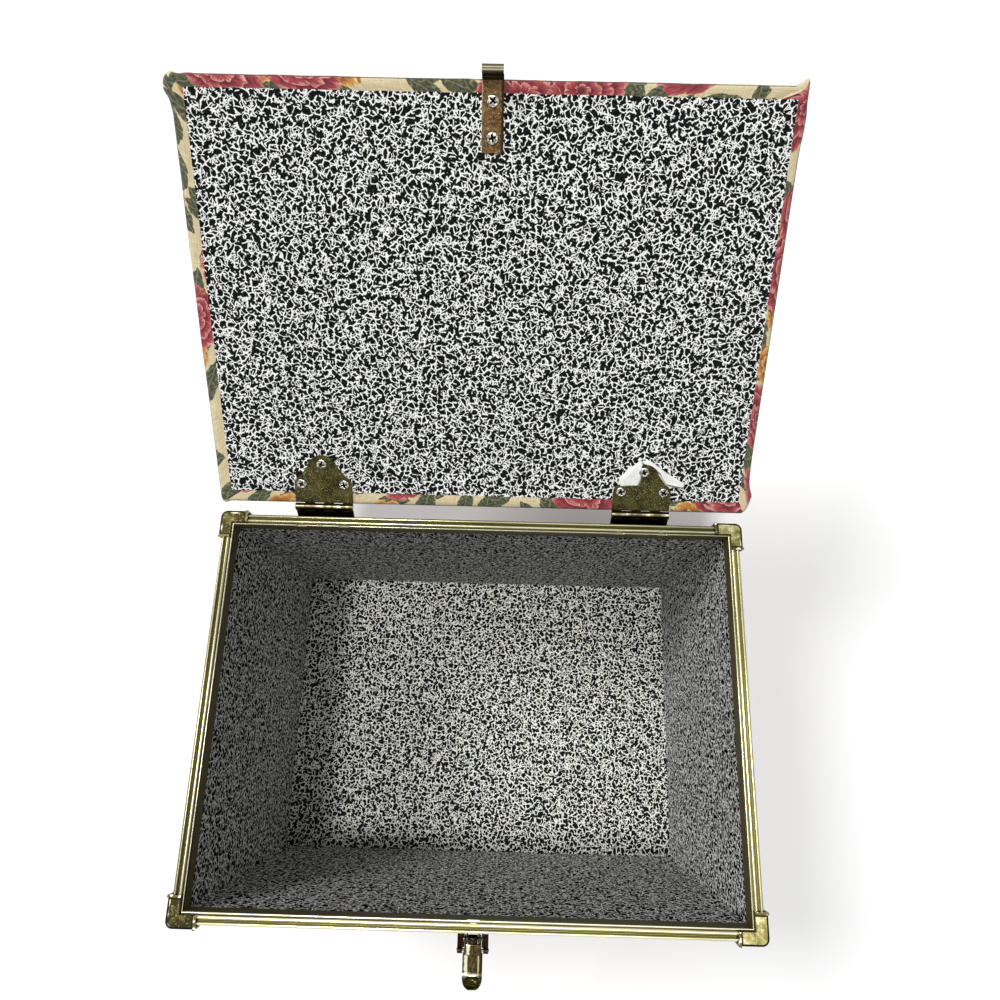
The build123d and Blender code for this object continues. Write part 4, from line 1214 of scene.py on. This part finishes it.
def side_of(k):
    """Which side of the lid the k-th step of the loop is on: rear, right, front or left."""
    return 0 if k < COLUMNS else 1 if k < COLUMNS + ROWS else 2 if k < 2 * COLUMNS + ROWS else 3


def flat_place(key, way, away):
    return lid_rectangle(spread(key[0], COLUMNS), spread(key[1], ROWS), SIDE[0][0], LID_ROUND) + way * away


def lay_crown(cloth):
    index = {}
    inset, height = SIDE[0]
    for i in range(COLUMNS + 1):
        for j in range(ROWS + 1):
            a, b = spread(i, COLUMNS), spread(j, ROWS)
            x, s = lid_rectangle(a, b, inset, LID_ROUND)
            crown = CROWN * (1 - abs(a) ** CROWN_FULL) * (1 - abs(b) ** CROWN_FULL)
            index[i, j] = cloth.add(*pushed(x, s, height + crown))
    for i in range(COLUMNS):
        for j in range(ROWS):
            keys = [(i, j), (i + 1, j), (i + 1, j + 1), (i, j + 1)]
            cloth.quad([index[key] for key in keys], [flat_place(key, Vector((0, 0)), 0) for key in keys])
    return index


cloth = Cloth()
crown = lay_crown(cloth)
loop = [(i, 0) for i in range(COLUMNS)] + [(COLUMNS, j) for j in range(ROWS)]
loop += [(i, ROWS) for i in range(COLUMNS, 0, -1)] + [(0, j) for j in range(ROWS, 0, -1)]
last, away = [crown[key] for key in loop], 0.0
for (inset, above), (inset_before, above_before) in zip(SIDE[1:], SIDE):
    before, away = away, away + math.hypot(inset - inset_before, above - above_before)
    last = lay_ring(cloth, loop, last, before, inset, above, away)
for step, step_before in zip(BORDER, [0.0] + BORDER):
    before, away = away, away + (step - step_before) * BORDER_WIDE
    last = lay_ring(cloth, loop, last, before, SIDE[-1][0], None, away, step)
print("lid cloth", len(cloth.faces), "faces")

# %% [markdown]
# The cloth's inside lies against the board, so the piece is closed along the board's face, edge and top. None of
# this is seen, but a closed piece has a volume that the wadding can be said to fill.

# %% Lid cloth: close it round the board
def close_on_board(cloth, last):
    """The inside: along the board's face, up its edge and across its top."""
    for inset, above in ((None, BOARD_FACE), (0.6, BOARD_FACE), (0.6, BOARD_TOP)):
        made = []
        for i, j in loop:
            a, b = spread(i, COLUMNS), spread(j, ROWS)
            p = under_paper(a, b) if inset is None else lid_rectangle(a, b, inset, LID_ROUND)
            made.append(cloth.add(p.x, p.y, above))
        for k in range(len(loop)):
            n = (k + 1) % len(loop)
            cloth.quad((last[k], made[k], made[n], last[n]), [(0.0, 0.0)] * 4)
        last = made
    cloth.quad(last, [(0.0, 0.0)] * len(last))


close_on_board(cloth, last)
lid_cloth = make_piece("padded_lid_cloth", cloth.verts, cloth.faces, printed_cotton, cloth.maps)
face_outwards(lid_cloth)
print("closed lid cloth", len(lid_cloth.data.polygons), "faces")

# %% [markdown]
# Real wadding pushes the cotton out between its held edges. Blender's cloth does the same: the turned edges are
# held, the crown is given a little more cloth than it needs, and pressure from inside fills it. Twenty steps are
# enough. Then its result is written into the mesh, with a limit on how far any point may go.

# %% Lid cloth: fill it with wadding
MOST_SWELL = 3.0


def fill_with_wadding(piece, pressure=3.0, steps=20):
    held = piece.vertex_groups.new(name="held")
    crown_count = (COLUMNS + 1) * (ROWS + 1)
    inner = {crown[i, j] for i in range(1, COLUMNS) for j in range(1, ROWS)}
    held.add([i for i in range(len(piece.data.vertices)) if i not in inner], 1.0, "REPLACE")
    cloth_ = piece.modifiers.new("wadding", "CLOTH")
    settings = cloth_.settings
    settings.quality = 5
    settings.mass = 0.15
    settings.tension_stiffness = settings.compression_stiffness = 20
    settings.shear_stiffness = 8
    settings.bending_stiffness = 0.4
    settings.shrink_min = -0.012
    settings.vertex_group_mass = "held"
    settings.use_pressure = True
    settings.uniform_pressure_force = pressure
    settings.effector_weights.gravity = 0.0
    cloth_.point_cache.frame_start, cloth_.point_cache.frame_end = 1, steps
    scene = bpy.context.scene
    for frame_at in range(1, steps + 1):
        scene.frame_set(frame_at)
    filled = piece.evaluated_get(bpy.context.evaluated_depsgraph_get()).to_mesh()
    moved = np.zeros(len(filled.vertices) * 3, np.float32)
    filled.vertices.foreach_get("co", moved)
    start = np.zeros_like(moved)
    piece.data.vertices.foreach_get("co", start)
    shift = (moved - start).reshape(-1, 3)
    far = np.linalg.norm(shift, axis=1)
    shift *= np.minimum(1.0, MOST_SWELL * mm / np.maximum(far, 1e-9))[:, None]
    piece.modifiers.remove(cloth_)
    piece.vertex_groups.remove(held)
    piece.data.vertices.foreach_set("co", start + shift.ravel())
    piece.data.update()
    scene.frame_set(1)
    return crown_count, float(far.max() / mm), float(far[:crown_count].mean() / mm)


print("swelled", fill_with_wadding(lid_cloth))
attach(lid_cloth, "lid")
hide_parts("lid_cover", "lid_padding")

# %% [markdown]
# The lid's paper is pasted on thin card and lies over the end of the cloth. It was cut by hand, so its edge wanders
# a little. At the right hinge a patch was torn off and shows the white core, with two flaps left standing.

# %% Lid paper: wandering outline
def wander(points, step, size, seed):
    """Walk round an outline in short steps and move each point a little."""
    walked = []
    for start, end in zip(points, points[1:] + points[:1]):
        start, end = Vector(start), Vector(end)
        count = max(1, round((end - start).length / step))
        for i in range(count):
            p = start.lerp(end, i / count)
            shift = field.noise_vector(Vector((p.x, p.y, seed)) * 0.35) * size
            shift += field.noise_vector(Vector((p.x, p.y, seed + 9)) * 1.3) * size * 0.5
            walked.append(Vector((p.x + shift.x, p.y + shift.y)))
    return walked


TORN = [(91.1, 18.4), (91.2, 25.0), (97.0, 31.0), (104.1, 37.2), (112.0, 36.7), (118.0, 32.3), (124.1, 28.0),
        (134.7, 21.9), (134.3, 19.8), (124.0, 18.6), (118.0, 14.0), (100.0, 14.5)]
PAPER, CARD = 0.3, 0.2


def make_lid_paper():
    outline = wander([(PAPER_LEFT, PAPER_REAR), (PAPER_RIGHT, PAPER_REAR), (PAPER_RIGHT, PAPER_FRONT),
                      (PAPER_LEFT, PAPER_FRONT)], 1.2, 0.28, 1.0)
    tear = wander(TORN, 0.7, 0.7, 5.0)
    shape = bmesh.new()

    def loop_at(path, depth):
        return [shape.verts.new(on_lid(p.x, p.y, -depth)) for p in path]

    def edges_of(made):
        return [shape.edges.new((made[i], made[(i + 1) % len(made)])) for i in range(len(made))]

    def wall(upper, lower):
        for i in range(len(upper)):
            k = (i + 1) % len(upper)
            shape.faces.new((upper[i], upper[k], lower[k], lower[i])).material_index = 1

    out_top, tear_top = loop_at(outline, 0.0), loop_at(tear, 0.0)
    bmesh.ops.triangle_fill(shape, use_beauty=True, edges=edges_of(out_top) + edges_of(tear_top))
    out_low, tear_low = loop_at(outline, PAPER), loop_at(tear, CARD)
    wall(out_top, out_low)
    wall(tear_top, tear_low)
    shape.faces.new(tear_low).material_index = 1
    shape.faces.new(out_low).material_index = 1
    bmesh.ops.recalc_face_normals(shape, faces=shape.faces)
    bmesh.ops.triangulate(shape, faces=[f for f in shape.faces if len(f.verts) > 4])
    mapped = shape.loops.layers.uv.new("cloth")
    origin = on_lid(0, 0)
    forward = (on_lid(0, 1000) - origin).normalized()
    for face in shape.faces:
        for corner in face.loops:
            corner[mapped].uv = (corner.vert.co.x, (corner.vert.co - origin).dot(forward) + 0.9)
    mesh = bpy.data.meshes.new("lid_paper")
    shape.to_mesh(mesh)
    shape.free()
    mesh.materials.append(lining_paper)
    mesh.materials.append(torn_paper)
    return new_object("lid_paper", mesh)


lid_paper = make_lid_paper()
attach(lid_paper, "lid")
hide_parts("lid_lining")
print("lid paper", len(lid_paper.data.polygons), "faces")

# %% [markdown]
# The two flaps stayed attached along the edge of the tear and curl over the hinge leaf. Each is a strip of paper
# between its hinged edge and its free edge. The free edge stands higher than the leaf and rolls up a little.

# %% Torn flaps at the right hinge
FLAPS = {
    # hinged edge, then free edge
    "torn_flap_left": ([(91.0, 19.6), (91.0, 22.0), (91.4, 25.2), (97.2, 31.2), (103.6, 37.0)],
                       [(103.9, 20.6), (104.6, 22.4), (105.1, 24.6), (105.2, 31.0), (105.3, 35.8)]),
    "torn_flap_right": ([(134.9, 22.1), (129.5, 25.2), (124.1, 28.2), (118.0, 32.5), (112.0, 36.9), (105.8, 37.4)],
                        [(134.2, 19.9), (128.5, 21.0), (122.4, 22.0), (117.6, 29.6), (112.8, 34.2), (106.2, 36.0)]),
}
FLAP_LIFTS = (1.75, 1.6)


def along(points, t):
    """The place at a share t of the way along a broken line."""
    spans = [(Vector(b) - Vector(a)).length for a, b in zip(points, points[1:])]
    target = t * sum(spans)
    for a, b, span in zip(points, points[1:], spans):
        if target <= span:
            return Vector(a).lerp(Vector(b), target / span)
        target -= span
    return Vector(points[-1])


def make_flap(name, hinged, free, lift, count=26, across=9):
    verts, faces = [], []
    for layer in (0.0, 0.16):
        for i in range(count + 1):
            start, end = along(hinged, i / count), along(free, i / count)
            rag = field.noise_vector(Vector((i * 0.55, lift, 2.0))) * 0.45
            for k in range(across + 1):
                t = k / across
                p = start.lerp(end + Vector((rag.x, rag.y)), t)
                crumple = 0.25 * field.noise(Vector((p.x, p.y, lift)) * 0.35) * t
                height = 0.05 + lift * math.sin(math.pi / 2 * min(1.0, 5.0 * t)) + 0.5 * t ** 4 + crumple
                verts.append(on_lid(p.x, p.y, height - layer))
    row, half = across + 1, (count + 1) * (across + 1)
    for i in range(count):
        for k in range(across):
            a = i * row + k
            faces += [(a, a + row, a + row + 1, a + 1), (a + half + 1, a + half + row + 1, a + half + row, a + half)]
    rim = [i * row for i in range(count + 1)] + [count * row + k for k in range(1, row)]
    rim += [i * row + across for i in range(count - 1, -1, -1)] + [k for k in range(across - 1, 0, -1)]
    for a, b in zip(rim, rim[1:] + rim[:1]):
        faces.append((a, a + half, b + half, b))
    piece = make_piece(name, verts, faces, torn_paper)
    face_outwards(piece)
    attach(piece, "lid")
    return piece


flaps = [make_flap(name, *edges, lift) for (name, edges), lift in zip(FLAPS.items(), FLAP_LIFTS)]
print("flaps", [len(flap.data.polygons) for flap in flaps])

# %% [markdown]
# The lever is stamped from sheet: an arched channel that narrows at its root, a raised lip and a hollow for the
# thumb. Each row of the mesh is the channel's closed section at one distance from the pivot, so the lip, the bowl
# and the round end are only changes of height and width from row to row.

# %% Lever: its shape
PIVOT = (LATCH, -129.25, 207.0)
DROOP = math.radians(12.0)
ROOT_HALF, BODY_HALF, LEVER_END = 4.95, 5.9, 27.1
LEVER_SHEET = 0.9


def on_lever(x, length, above):
    """A place on the lever: across, away from its pivot and above its middle, in millimetres."""
    c, s = math.cos(DROOP), math.sin(DROOP)
    return Vector((PIVOT[0] + x, PIVOT[1] - length * c - above * s, PIVOT[2] - length * s + above * c)) * mm


def soft_step(value, low, high):
    t = min(1.0, max(0.0, (value - low) / (high - low)))
    return t * t * (3 - 2 * t)


def half_width(length):
    if length < LEVER_BOWL:
        return ROOT_HALF + (BODY_HALF - ROOT_HALF) * soft_step(length, 8.0, 8.9)
    return BODY_HALF * math.sqrt(max(0.004, 1 - ((length - LEVER_BOWL) / (LEVER_END - LEVER_BOWL + 0.01)) ** 2))


def lever_top(length, u):
    body = soft_step(length, 8.0, 9.5) * (1 - soft_step(length, 17.5, 18.3))
    grooves = sum(math.exp(-((u - at) / 0.06) ** 2) for at in (-0.42, 0.46)) * 0.25 * body
    lip = 0.9 * math.exp(-((length - LEVER_LIP) / 0.9) ** 2) * (1 - 0.5 * u * u)
    out = ((length - 23.4) / 3.1) ** 2 + (u * half_width(length) / 4.8) ** 2
    bowl = 2.4 * max(0.0, 1 - out) ** 0.8
    rising = 2.3 * soft_step(length, 20.0, LEVER_END)
    arch = 1.1 * abs(u) ** 2.6 * (1 - soft_step(length, 20.0, 23.0))
    return 2.15 + rising + lip - arch - grooves - bowl


def lever_section(length, count=24):
    """The closed section at one distance from the pivot, with the place across for the map."""
    w = half_width(length)
    inner = w - min(LEVER_SHEET, 0.5 * w)
    edge = lever_top(length, 1.0)
    low = min(edge - 1.0, -2.0 + 0.05 * length + 6.0 * soft_step(length, 17.0, LEVER_END))
    steps = [2 * i / count - 1 for i in range(count + 1)]
    points = [(u * w, lever_top(length, u), u * w / BODY_HALF) for u in steps]
    points += [(w, (edge + low) / 2, 1.1), (w, low, 1.1), (inner, low, 1.1)]
    points += [(u * inner, lever_top(length, u) - LEVER_SHEET, 1.1) for u in reversed(steps)]
    points += [(-inner, low, -1.1), (-w, low, -1.1), (-w, (edge + low) / 2, -1.1)]
    return points


print("lever section", len(lever_section(5.0)), "points")

# %% [markdown]
# The rows are joined into one closed tube. The knuckles round the pivot and a dark web behind the heel are short
# tubes of their own, added to the same mesh. Their map gives them the lever's dark edge and underside colours, so
# that they fill the place between the wall and the lever's root as painted shade; the web is there for that alone.

# %% Lever: rows into a mesh, and its heel
KNUCKLES = ((-4.95, -4.15), (-2.85, 2.85), (4.15, 4.95))
KNUCKLE_RADIUS, KNUCKLE_POINTS = 2.2, 24
SHADE_WEB_HALF, SHADE_WEB = 2.8, ((0.5, 1.0), (3.4, 0.9), (3.4, 1.9), (0.5, 2.0))


def tube(rows):
    """Faces between rows of the same number of points, each row a closed loop, and a face at each end."""
    count, faces = len(rows[0]), []
    for r in range(len(rows) - 1):
        for i in range(count):
            k = (i + 1) % count
            faces.append((r * count + i, (r + 1) * count + i, (r + 1) * count + k, r * count + k))
    faces += [tuple(range(count)), tuple(reversed(range((len(rows) - 1) * count, len(rows) * count)))]
    return faces


def make_lever():
    lengths = list(np.linspace(2.4, 8.0, 9)) + [8.2, 8.4, 8.6, 8.8, 9.1] + list(np.linspace(9.6, 17.4, 14))
    lengths += list(np.linspace(17.7, 26.0, 40)) + [26.3, 26.6, 26.8, 26.95, 27.05, LEVER_END]
    rows = [lever_section(length) for length in lengths]
    verts = [on_lever(x, length, above) for length, row in zip(lengths, rows) for x, above, u in row]
    maps = [(u, length) for length, row in zip(lengths, rows) for x, above, u in row]
    faces = tube(rows)
    turns = np.linspace(0, 2 * math.pi, KNUCKLE_POINTS + 1)[:-1]
    for ends in KNUCKLES:
        rings = [[(x, KNUCKLE_RADIUS * math.sin(a), KNUCKLE_RADIUS * math.cos(a)) for a in turns] for x in ends]
        faces += numbered_on(tube(rings), len(verts))
        verts += [on_lever(*p) for ring in rings for p in ring]
        # The knuckles are mapped onto the lever's dark edge and underside colours, as painted shade.
        maps += [(1.1 if i > 3 else 0.9, 10.0) for ring in rings for i in range(KNUCKLE_POINTS)]
    # A dark web that fills the shade behind the heel.
    shade_web = [[(x, length, above) for length, above in SHADE_WEB] for x in (-SHADE_WEB_HALF, SHADE_WEB_HALF)]
    faces += numbered_on(tube(shade_web), len(verts))
    verts += [on_lever(*p) for row in shade_web for p in row]
    maps += [(1.1, 1.0)] * (2 * len(SHADE_WEB))
    uvs = [maps[i] for face in faces for i in face]
    return make_piece("lever", verts, faces, lever_brass, uvs)


lever = make_lever()
face_outwards(lever)
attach(lever, "lever")
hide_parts("latch_lever")
print("lever", len(lever.data.polygons), "faces")

# %% [markdown]
# Two dark lips, turned down and inwards, are added inside the loop's two legs so that the gaps beside the lever's
# root look black from above: they are dark metal put there as painted shade. The CAD loop stays, and the two lips
# are added to it as small bent strips.

# %% Loop: its turned-in lips
LOOP_AT = (LATCH, -135.51, 205.67)
LOOP_RISE = math.radians(6.5)
LIP_SECTION = ((6.3, -0.3), (6.0, -0.3), (6.0, -1.75), (5.15, -1.75), (5.15, -2.2), (6.3, -2.2))
LIP_ROWS = (0.6, 4.0, 8.6)


def on_loop(x, out, above):
    c, s = math.cos(LOOP_RISE), math.sin(LOOP_RISE)
    return Vector((LOOP_AT[0] + x, LOOP_AT[1] + out * c - above * s, LOOP_AT[2] + out * s + above * c)) * mm


def make_loop_shade_lips():
    verts, faces = [], []
    for side_ in (-1, 1):
        rows = [[on_loop(side_ * x, out, above) for x, above in LIP_SECTION] for out in LIP_ROWS]
        faces += numbered_on(tube(rows), len(verts))
        verts += [p for row in rows for p in row]
    return make_piece("loop_shade_lips", verts, faces, loop_bronze, smooth=False)


# Dark strips that stand in for the shade beside the lever's root.
loop_shade_lips = make_loop_shade_lips()
face_outwards(loop_shade_lips)
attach(loop_shade_lips, "loop")
print("loop lips", len(loop_shade_lips.data.polygons), "faces")

# %% [markdown]
# All the screws are the same pan head with a cross slot, so a Geometry Nodes tree makes them. It shapes one head
# from a cylinder with many rings on its cap, adds a plain shank, puts a copy on every point of a small mesh, turns
# each one to its own angle, and joins them. The points carry the direction that their screw faces.

# %% Screws: helpers for geometry nodes
def screw_tree():
    tree = write_in(bpy.data.node_groups.new("pan head screws", "GeometryNodeTree"))
    tree.interface.new_socket("Geometry", in_out="INPUT", socket_type="NodeSocketGeometry")
    sizes = {"Head radius": 3.5, "Head height": 1.5, "Slot width": 1.0, "Slot length": 4.5, "Slot depth": 1.15,
             "Shank radius": 1.5, "Shank length": 6.1}
    name_inputs(tree, [(label, "Float", size * mm) for label, size in sizes.items()] + [("Seed", "Int", 4)])
    tree.interface.new_socket("Geometry", in_out="OUTPUT", socket_type="NodeSocketGeometry")
    given = tree.nodes.new("NodeGroupInput").outputs
    radius, height = given["Head radius"], given["Head height"]
    head = put("GeometryNodeMeshCylinder", {"Vertices": 72, "Side Segments": 2, "Fill Segments": 18,
                                                  "Radius": radius, "Depth": height})
    position = put("GeometryNodeInputPosition").outputs[0]
    sep = split(position)
    out = divide(distance(sep[0], sep[1]), radius)
    dome = calc("SQRT", maximum(subtract(1.0, calc("POWER", out, 3.0)), 0.0))
    level = multiply(height, multiply_add(dome, 0.72, 0.28))

    def arm(long_way, wide_way):
        wide = divide(absolute(sep[wide_way]), given["Slot width"])
        long_ = divide(absolute(sep[long_way]), given["Slot length"])
        return multiply(rise(wide, 0.62, 0.38), rise(long_, 0.54, 0.34))

    cross = maximum(arm(0, 1), arm(1, 0))
    top = subtract(level, multiply(cross, given["Slot depth"]))
    share = add(divide(sep[2], height), 0.5, clamp=True)
    new_place = join(sep[0], sep[1], multiply(share, top))
    shaped = put("GeometryNodeSetPosition", {"Geometry": head.outputs["Mesh"], "Position": new_place})
    # Painted shade in the cross slot and round the edge of the head, stored for the material.
    recess_shade = maximum(rise(cross, 0.35, 0.8), rise(out, 0.93, 1.0, 0.0, 0.8))
    shaped = put("GeometryNodeStoreNamedAttribute", {"Geometry": shaped.outputs[0], "Name": "recess_shade", "Value": recess_shade},
                 data_type="FLOAT", domain="POINT")
    shank = put("GeometryNodeMeshCylinder", {"Vertices": 16, "Radius": given["Shank radius"],
                                                   "Depth": given["Shank length"]})
    down = join(z=multiply(given["Shank length"], -0.5))
    lowered = put("GeometryNodeTransform", {"Geometry": shank.outputs["Mesh"], "Translation": down})
    screw = tree.nodes.new("GeometryNodeJoinGeometry")
    tree.links.new(shaped.outputs[0], screw.inputs[0])
    tree.links.new(lowered.outputs[0], screw.inputs[0])
    return tree, given, screw.outputs[0]


def finish_screw_tree():
    tree, given, screw = screw_tree()
    facing = put("GeometryNodeInputNamedAttribute", {"Name": "facing"}, data_type="FLOAT_VECTOR").outputs[0]
    upright = put("FunctionNodeAlignRotationToVector", {"Vector": facing}, axis="Z").outputs[0]
    chance = put("FunctionNodeRandomValue", {"Seed": given["Seed"]}, data_type="FLOAT")
    turn_by = multiply(chance.outputs["Value"], math.pi / 2)
    spin = put("FunctionNodeAxisAngleToRotation", {"Axis": (0, 0, 1), "Angle": turn_by}).outputs[0]
    turned = put("FunctionNodeRotateRotation", {"Rotation": upright, "Rotate By": spin}, rotation_space="LOCAL")
    placed = put("GeometryNodeInstanceOnPoints", {"Points": given["Geometry"], "Instance": screw,
                                                        "Rotation": turned.outputs[0]})
    real = put("GeometryNodeRealizeInstances", {"Geometry": placed.outputs[0]})
    smooth = put("GeometryNodeSetShadeSmooth", {"Geometry": real.outputs[0]})
    finished = put("GeometryNodeSetMaterial", {"Geometry": smooth.outputs[0], "Material": screw_nickel})
    tree.links.new(finished.outputs[0], tree.nodes.new("NodeGroupOutput").inputs[0])
    return tree


screws_tree = finish_screw_tree()
print("tree", screws_tree.name, len(screws_tree.nodes), "nodes")

# %% [markdown]
# Each set of screws starts as loose points, one for each screw, that carry the way it faces. The tree is applied
# and its result becomes the piece, so that nothing is left to work out later.

# %% Screws: place them
LEAF, STRIP, STRIP_SCREWS = 1.2, 1.0, (225.9, 244.6)
LEAF_SCREWS = [(-14.2, 15.7), (14.2, 15.7), (0.0, 29.9)]
BACK, BOX_LEAF_LOWER = 123.9, 2.4


def place_screws(name, spots, body, replaced, seed):
    """Screws at places in metres, each with the way that it faces."""
    base = bpy.data.meshes.new(name)
    base.from_pydata([spot for spot, way in spots], [], [])
    facing = base.attributes.new("facing", "FLOAT_VECTOR", "POINT")
    facing.data.foreach_set("vector", [c for spot, way in spots for c in way])
    holder = new_object(name + "_points", base)
    made = holder.modifiers.new("screws", "NODES")
    made.node_group = screws_tree
    sockets = {item.name: item.identifier for item in screws_tree.interface.items_tree if item.in_out == "INPUT"}
    made[sockets["Seed"]] = seed
    evaluated = holder.evaluated_get(bpy.context.evaluated_depsgraph_get())
    piece = new_object(name, bpy.data.meshes.new_from_object(evaluated))
    holder.modifiers.remove(made)
    bpy.data.objects.remove(holder)
    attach(piece, body)
    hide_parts(*replaced)


out_of_lid = (on_lid(0, 0, 1) - on_lid(0, 0, 0)).normalized()
lid_spots = [(on_lid(x + dx, s, LEAF), out_of_lid) for x in HINGES for dx, s in LEAF_SCREWS]
lid_spots += [(on_lid(LATCH, s, STRIP), out_of_lid) for s in STRIP_SCREWS]
place_screws("lid_screws", lid_spots, "lid", ("hinge_screws_lid", "catch_screws"), 4)
back_spots = [(Vector((x + dx, BACK, AXIS_Z - (s + BOX_LEAF_LOWER))) * mm, Vector((0, 1, 0)))
              for x in HINGES for dx, s in LEAF_SCREWS]
place_screws("back_screws", back_spots, "trunk", ("hinge_screws_box",), 9)
print("screws", len(lid_spots), len(back_spots), "heads at", [round(v, 1) for v in back_spots[0][0] / mm])

# %% [markdown]
# A pale floor, three wide suns and a surrounding: the key sun almost overhead, one lower from the left and behind,
# and a very wide one that fills the shade. The camera and the bright metal see floor and surrounding as white, with
# the trunk's soft shadow, but both send less light back into the box than white ones would.

# %% Stage: floor, surrounding and lamps
WHITE = (1, 1, 1, 1)
LAMPS = {
    # where it shines from, its strength and its width in degrees
    "key_lamp": ((-0.34, -0.10, 1.9), 1.55, 7.0),
    "side_lamp": ((-0.92, 0.48, 1.34), 1.35, 18.0),
    "fill_lamp": ((0.26, -0.2, 1.9), 0.5, 30.0),
}


def seen_or_not(unseen, seen):
    """One shader for light that goes to the camera or to bright metal, and another for the rest."""
    path = put("ShaderNodeLightPath").outputs
    looks = maximum(path["Is Camera Ray"], path["Is Glossy Ray"])
    return put("ShaderNodeMixShader", {0: looks, 1: unseen, 2: seen}).outputs[0]


def make_floor():
    material = bpy.data.materials.new("studio_floor")
    material.use_nodes = True
    write_in(material.node_tree).nodes.clear()
    matte = put("ShaderNodeBsdfDiffuse", {"Color": (0.97, 0.97, 0.97, 1)}).outputs[0]
    darker = put("ShaderNodeBsdfDiffuse", {"Color": (0.4, 0.4, 0.4, 1)}).outputs[0]
    glow = put("ShaderNodeEmission", {"Color": WHITE, "Strength": 0.02}).outputs[0]
    lit = put("ShaderNodeAddShader", {0: matte, 1: glow}).outputs[0]
    feed(put("ShaderNodeOutputMaterial").inputs["Surface"], seen_or_not(darker, lit))
    bpy.ops.mesh.primitive_plane_add(size=12.0, location=(0, 0, -0.0002))
    floor = bpy.context.object
    floor.name = "studio_floor"
    floor.data.materials.append(material)
    return floor


def make_surrounding(strength):
    world = bpy.data.worlds.new("studio")
    world.use_nodes = True
    bpy.context.scene.world = world
    write_in(world.node_tree).nodes.clear()
    light = put("ShaderNodeBackground", {"Color": WHITE, "Strength": strength}).outputs[0]
    white = put("ShaderNodeBackground", {"Color": WHITE, "Strength": 1.0}).outputs[0]
    feed(put("ShaderNodeOutputWorld").inputs["Surface"], seen_or_not(light, white))


def add_sun(name, place, strength, width):
    """A sun that shines from a place towards the middle of the floor. A wide one has soft shadows."""
    lamp = new_object(name, bpy.data.lights.new(name, "SUN"))
    lamp.data.angle = math.radians(width)
    lamp.data.energy = strength
    lamp.location = place
    lamp.rotation_euler = (-Vector(place)).to_track_quat("-Z", "Y").to_euler()
    return lamp


floor = make_floor()
make_surrounding(strength=0.15)
print("lamps", [add_sun(name, *how).name for name, how in LAMPS.items()])
